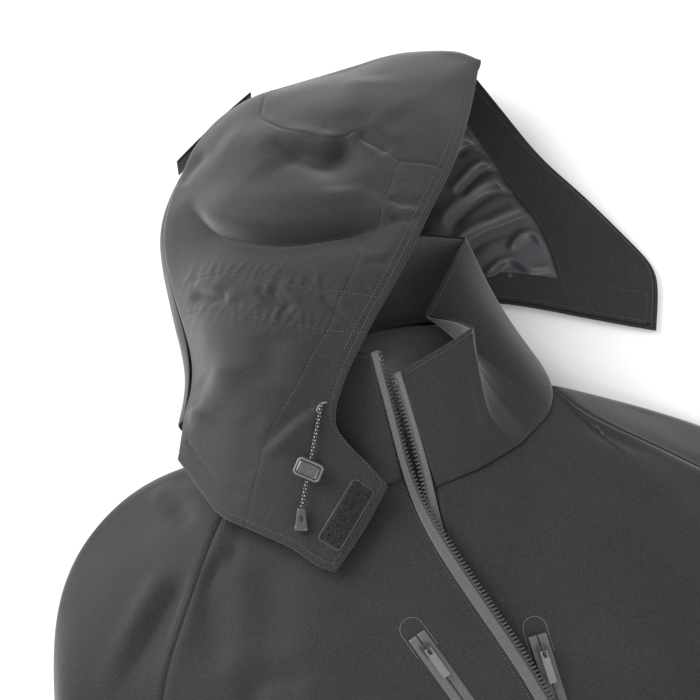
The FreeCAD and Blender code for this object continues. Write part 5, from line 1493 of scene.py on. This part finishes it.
def build_cordlock():
    """Frame, satin button and spring of the cordlock."""
    bend, end = np.array(CORD_ROUTE[1]), np.array(CORD_ROUTE[2])
    at = bend + (end - bend) * LOCK_SHARE
    run = (end - bend) / np.linalg.norm(end - bend)
    normal = np.array([-0.2155, -0.2278, 0.9496])
    across = np.cross(normal, run)
    across /= np.linalg.norm(across)
    tilt = math.radians(LOCK_TILT)
    across = across * math.cos(tilt) + np.cross(normal, across) * math.sin(tilt)
    low, high = LOCK_FLOOR, LOCK_FLOOR + LOCK_TALL

    def outline(inset, corner):
        return rounded_outline(LOCK_WIDE - 2 * inset, LOCK_LONG - 2 * inset, corner, 8)

    wall = LOCK_WALL
    frame_points, frame_faces = ring_solid([
        (outline(1.2, 2.2), low), (outline(0.25, 3.0), low + 1.1), (outline(0.0, 3.2), low + 2.6),
        (outline(0.0, 3.2), high - 2.4), (outline(0.25, 3.0), high - 0.9), (outline(0.8, 2.6), high - 0.1),
        (outline(1.15, 2.2), high), (outline(wall, 1.8), high - 0.35), (outline(wall + 0.1, 1.7), high - 1.4),
        (outline(wall + 0.1, 1.7), low + 1.0), (outline(wall + 0.4, 1.5), low)])
    frame_piece = solid_mesh("cordlock_frame", placed(frame_points, at, across, normal), frame_faces,
                             LOCK_RIM)
    finished(frame_piece, "cordlock", "lock_plastic", "cordlock_body")

    base = outline(wall + 0.45, 1.5)
    button_points, button_faces = pillow(base, [
        (high - 0.25, 0.3), (high - 0.1, 0.0), (high + 0.25, 0.0), (high + 0.62, 0.25), (high + 0.85, 0.8),
        (high + 0.98, 1.8), (high + 1.04, 3.0)])
    button = solid_mesh("cordlock_press", placed(button_points, at, across, normal), button_faces, LOCK_METAL)
    finished(button, "cordlock_button", "lock_metal", "cordlock_button")
    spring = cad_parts["cordlock_spring"]
    wear(spring, LOCK_METAL)
    return frame_piece, button, spring


def wear(node_object, *materials):
    """Gives a carried-over CAD node its procedural material."""
    slots = node_object.data.materials
    slots.clear()
    for material in materials:
        slots.append(material)


def build_eyelet(tree):
    """The bound slit that the cord comes out of: a raised crescent of piping over a thin dark pad of painted
    shade that stands for the hollow.
    """
    at, normal, run = surface_turn(tree, CORD_ROUTE[0][0], CORD_ROUTE[0][1], (0.9, 0.4))
    side = np.cross(normal, run)
    angles = np.linspace(math.radians(8), math.radians(172), 26)
    middle = at - side * 2.4 - run * 1.0
    crest = [middle + run * 5.0 * math.cos(a) + side * 2.9 * math.sin(a) + normal * (0.5 + 0.3 * math.sin(a))
             for a in angles]
    radii = 0.30 + 0.62 * np.sin(angles) ** 0.7
    arch = tube(crest, radii, 10)
    piece = solid_mesh("drawcord_slit_binding", arch[0], arch[1], PULL_FILM)
    finished(piece, "hood", "zip_tape", "drawcord_eyelet")
    # Painted shade: the slit is not cut; a dark pad on the cloth stands for the shade in its hollow.
    hollow_points, hollow_faces = pillow(rounded_outline(6.4, 3.6, 1.7),
                                         [(-0.2, 0.4), (0.25, 0.0), (0.3, 0.5)])
    hollow = solid_mesh("drawcord_slit", placed(hollow_points, at + side * 0.8, run, normal),
                        hollow_faces, CORD_DARK)
    finished(hollow, "hood", "cord")


def build_hook_patch(tree):
    """Hook fastener: a rounded base with a welded border, covered by rows of small bent hooks."""
    at, normal, run = surface_turn(tree, *HOOK_MIDDLE, HOOK_RUN)
    long, wide, lift = 49.0, 18.5, 0.35
    side = np.cross(normal, run)

    def on_cloth(u, w, height):
        p = at + run * u + side * w
        hit, _, _, _ = tree.find_nearest(Vector(p))
        return np.array(hit) + normal * height

    outline = rounded_outline(long, wide, 3.5, 6)
    rings = []
    for inset, height in ((-0.5, -0.2), (0.0, lift + 0.5), (0.45, lift + 0.7), (0.9, lift + 0.5),
                          (1.2, lift + 0.2)):
        ring = rounded_outline(long - 2 * inset, wide - 2 * inset, max(1.2, 3.5 - inset), 6)
        rings.append([on_cloth(u, w, height) for u, w in ring])
    points = np.array(rings).reshape(-1, 3)
    size = len(outline)
    faces = grid_faces(len(rings), size, closed=True)
    border = solid_mesh("hook_patch_border", points, faces + [tuple(reversed(range(size)))], PULL_DARK)
    finished(border, "hood", "hook_loop")

    u = np.linspace(-long / 2 + 1.0, long / 2 - 1.0, 46)
    w = np.linspace(-wide / 2 + 1.0, wide / 2 - 1.0, 16)
    base = np.array([[on_cloth(a, b, lift + 0.35) for a in u] for b in w])
    bed = cloth_mesh("hook_patch_bed", wound(base, normal), 0.5, HOOK)
    finished(bed, "hood", "hook_loop", "hood_hook_patch")

    rng = random.Random(SEED + 2)
    parts = []
    step = 1.4
    for a in np.arange(-long / 2 + 1.7, long / 2 - 1.4, step):
        for b in np.arange(-wide / 2 + 1.7, wide / 2 - 1.4, step * 0.9):
            foot = on_cloth(a + rng.uniform(-0.3, 0.3), b + rng.uniform(-0.3, 0.3), lift + 0.3)
            lean = run * rng.choice((-1, 1)) * rng.uniform(0.3, 0.7) + side * rng.uniform(-0.3, 0.3)
            tall = rng.uniform(1.0, 1.35)
            stem = [foot, foot + normal * tall * 0.7 + lean * 0.1, foot + normal * tall + lean * 0.5,
                    foot + normal * tall * 0.8 + lean * 1.0]
            parts.append(tube(stem, [0.27, 0.24, 0.21, 0.15], 4))
    points, faces = joined(parts)
    hooks = solid_mesh("hook_patch_hooks", points, faces, HOOK_SHINE)
    finished(hooks, "hood", "hook_loop")


def build_back_tab():
    """The volume strap behind the head, on edge and close round the back of the hood."""
    low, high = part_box("hood_back_tab")
    middle = np.array([(low[k] + high[k]) / 2 / MM for k in range(3)])
    out = fold_line()[1][10]
    run = np.array([-out[1], out[0], 0.0])
    up = np.array([0, 0, 1.0])
    shares = np.linspace(-0.5, 0.5, 40)
    rows = np.linspace(-0.5, 0.5, 14)
    grid = np.array([[middle + run * 82 * a + up * 24 * b + out * (4.0 * a - 1.6 - 5.0 * a * a - 1.5 * b)
                      for a in shares] for b in rows])
    grid = wound(grid, out)
    piece = cloth_mesh("hood_strap", grid, 1.6, SHELL)
    finished(piece, "hood_tab", "shell_fabric", "hood_back_tab")
    stitches("hood_strap_stitching", "hood_tab", "shell_fabric",
             [parallel(grid, side, 3.0) for side in ("low", "high")], THREAD)


# ------------------------------------------------ everything that is carried over from the CAD
CARRIED = {"front_zip_slider": DARK_METAL, "front_zip_puller": DARK_METAL, "front_zip_box": TEETH,
           "front_zip_pin": TEETH}
for pocket in POCKETS:
    CARRIED[f"{pocket}_zip_slider"] = DARK_METAL
    CARRIED[f"{pocket}_zip_puller"] = PULL_FILM


# ------------------------------------------------ light, floor and camera
CAMERA_AT = (-0.18137, -0.00478, 1.19425)
CAMERA_LOOK = (0.14454, 0.30998, -0.93969)
CAMERA_LENS = 85.0
FLOOR_SIZE, FLOOR_Z = 6.0, -0.0008
WORLD_STRENGTH, WINDOW_POWER, FILL_POWER = 0.78, 40.0, 23.0


def set_camera():
    data = bpy.data.cameras.new("view")
    data.lens = CAMERA_LENS
    data.sensor_width = 36.0
    data.clip_end = 20.0
    camera = bpy.data.objects.new("view", data)
    bpy.context.scene.collection.objects.link(camera)
    camera.location = CAMERA_AT
    camera.rotation_euler = Vector(CAMERA_LOOK).to_track_quat("-Z", "Y").to_euler()
    bpy.context.scene.camera = camera


def area_light(name, place, target, size, power):
    data = bpy.data.lights.new(name, "AREA")
    data.shape = "DISK"
    data.size = size
    data.energy = power
    light = bpy.data.objects.new(name, data)
    bpy.context.scene.collection.objects.link(light)
    light.location = place
    light.rotation_euler = (Vector(target) - Vector(place)).to_track_quat("-Z", "Y").to_euler()


def build_stage():
    bpy.ops.mesh.primitive_plane_add(size=FLOOR_SIZE, location=(0, 0, FLOOR_Z))
    floor = bpy.context.object
    floor.name = "floor"
    material, _, shader = new_material("floor_paper")
    shader.inputs["Base Color"].default_value = (0.93, 0.93, 0.93, 1)
    shader.inputs["Roughness"].default_value = 0.9
    floor.data.materials.append(material)
    world = bpy.data.worlds.new("studio")
    bpy.context.scene.world = world
    world.use_nodes = True
    world.node_tree.nodes["Background"].inputs["Color"].default_value = (1, 1, 1, 1)
    world.node_tree.nodes["Background"].inputs["Strength"].default_value = WORLD_STRENGTH
    area_light("window", (-1.0, 1.4, 1.0), (0, 0.25, 0), 1.5, WINDOW_POWER)
    area_light("fill", (-0.1, -1.5, 1.1), (0, 0.2, 0), 1.6, FILL_POWER)
    bpy.context.scene.view_settings.view_transform = "Standard"
    bpy.context.scene.view_settings.look = "None"
    bpy.context.scene.view_settings.exposure = 0.0


# ------------------------------------------------ build
set_camera()
build_stage()
build_cord()
hood_tree = build_hood_upper()
build_eyelet(hood_tree)
build_hook_patch(hood_tree)
build_hood_centre()
build_hood_lower()
build_back_tab()
front_trees = {side: tree_of(build_front(side)) for side in ("right", "left")}
build_collar()
build_front_zip()
for side in ("right", "left"):
    build_sleeve(side)
    build_cuff(side)
build_back()
for pocket in POCKETS:
    build_pocket(pocket, front_trees[pocket.split("_")[0]])
    build_pocket_bag(pocket)
for node_name, material in CARRIED.items():
    wear(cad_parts[node_name], material)
for side in ("right", "left"):
    wear(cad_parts[f"{side}_cuff_loop_patch"], HOOK)
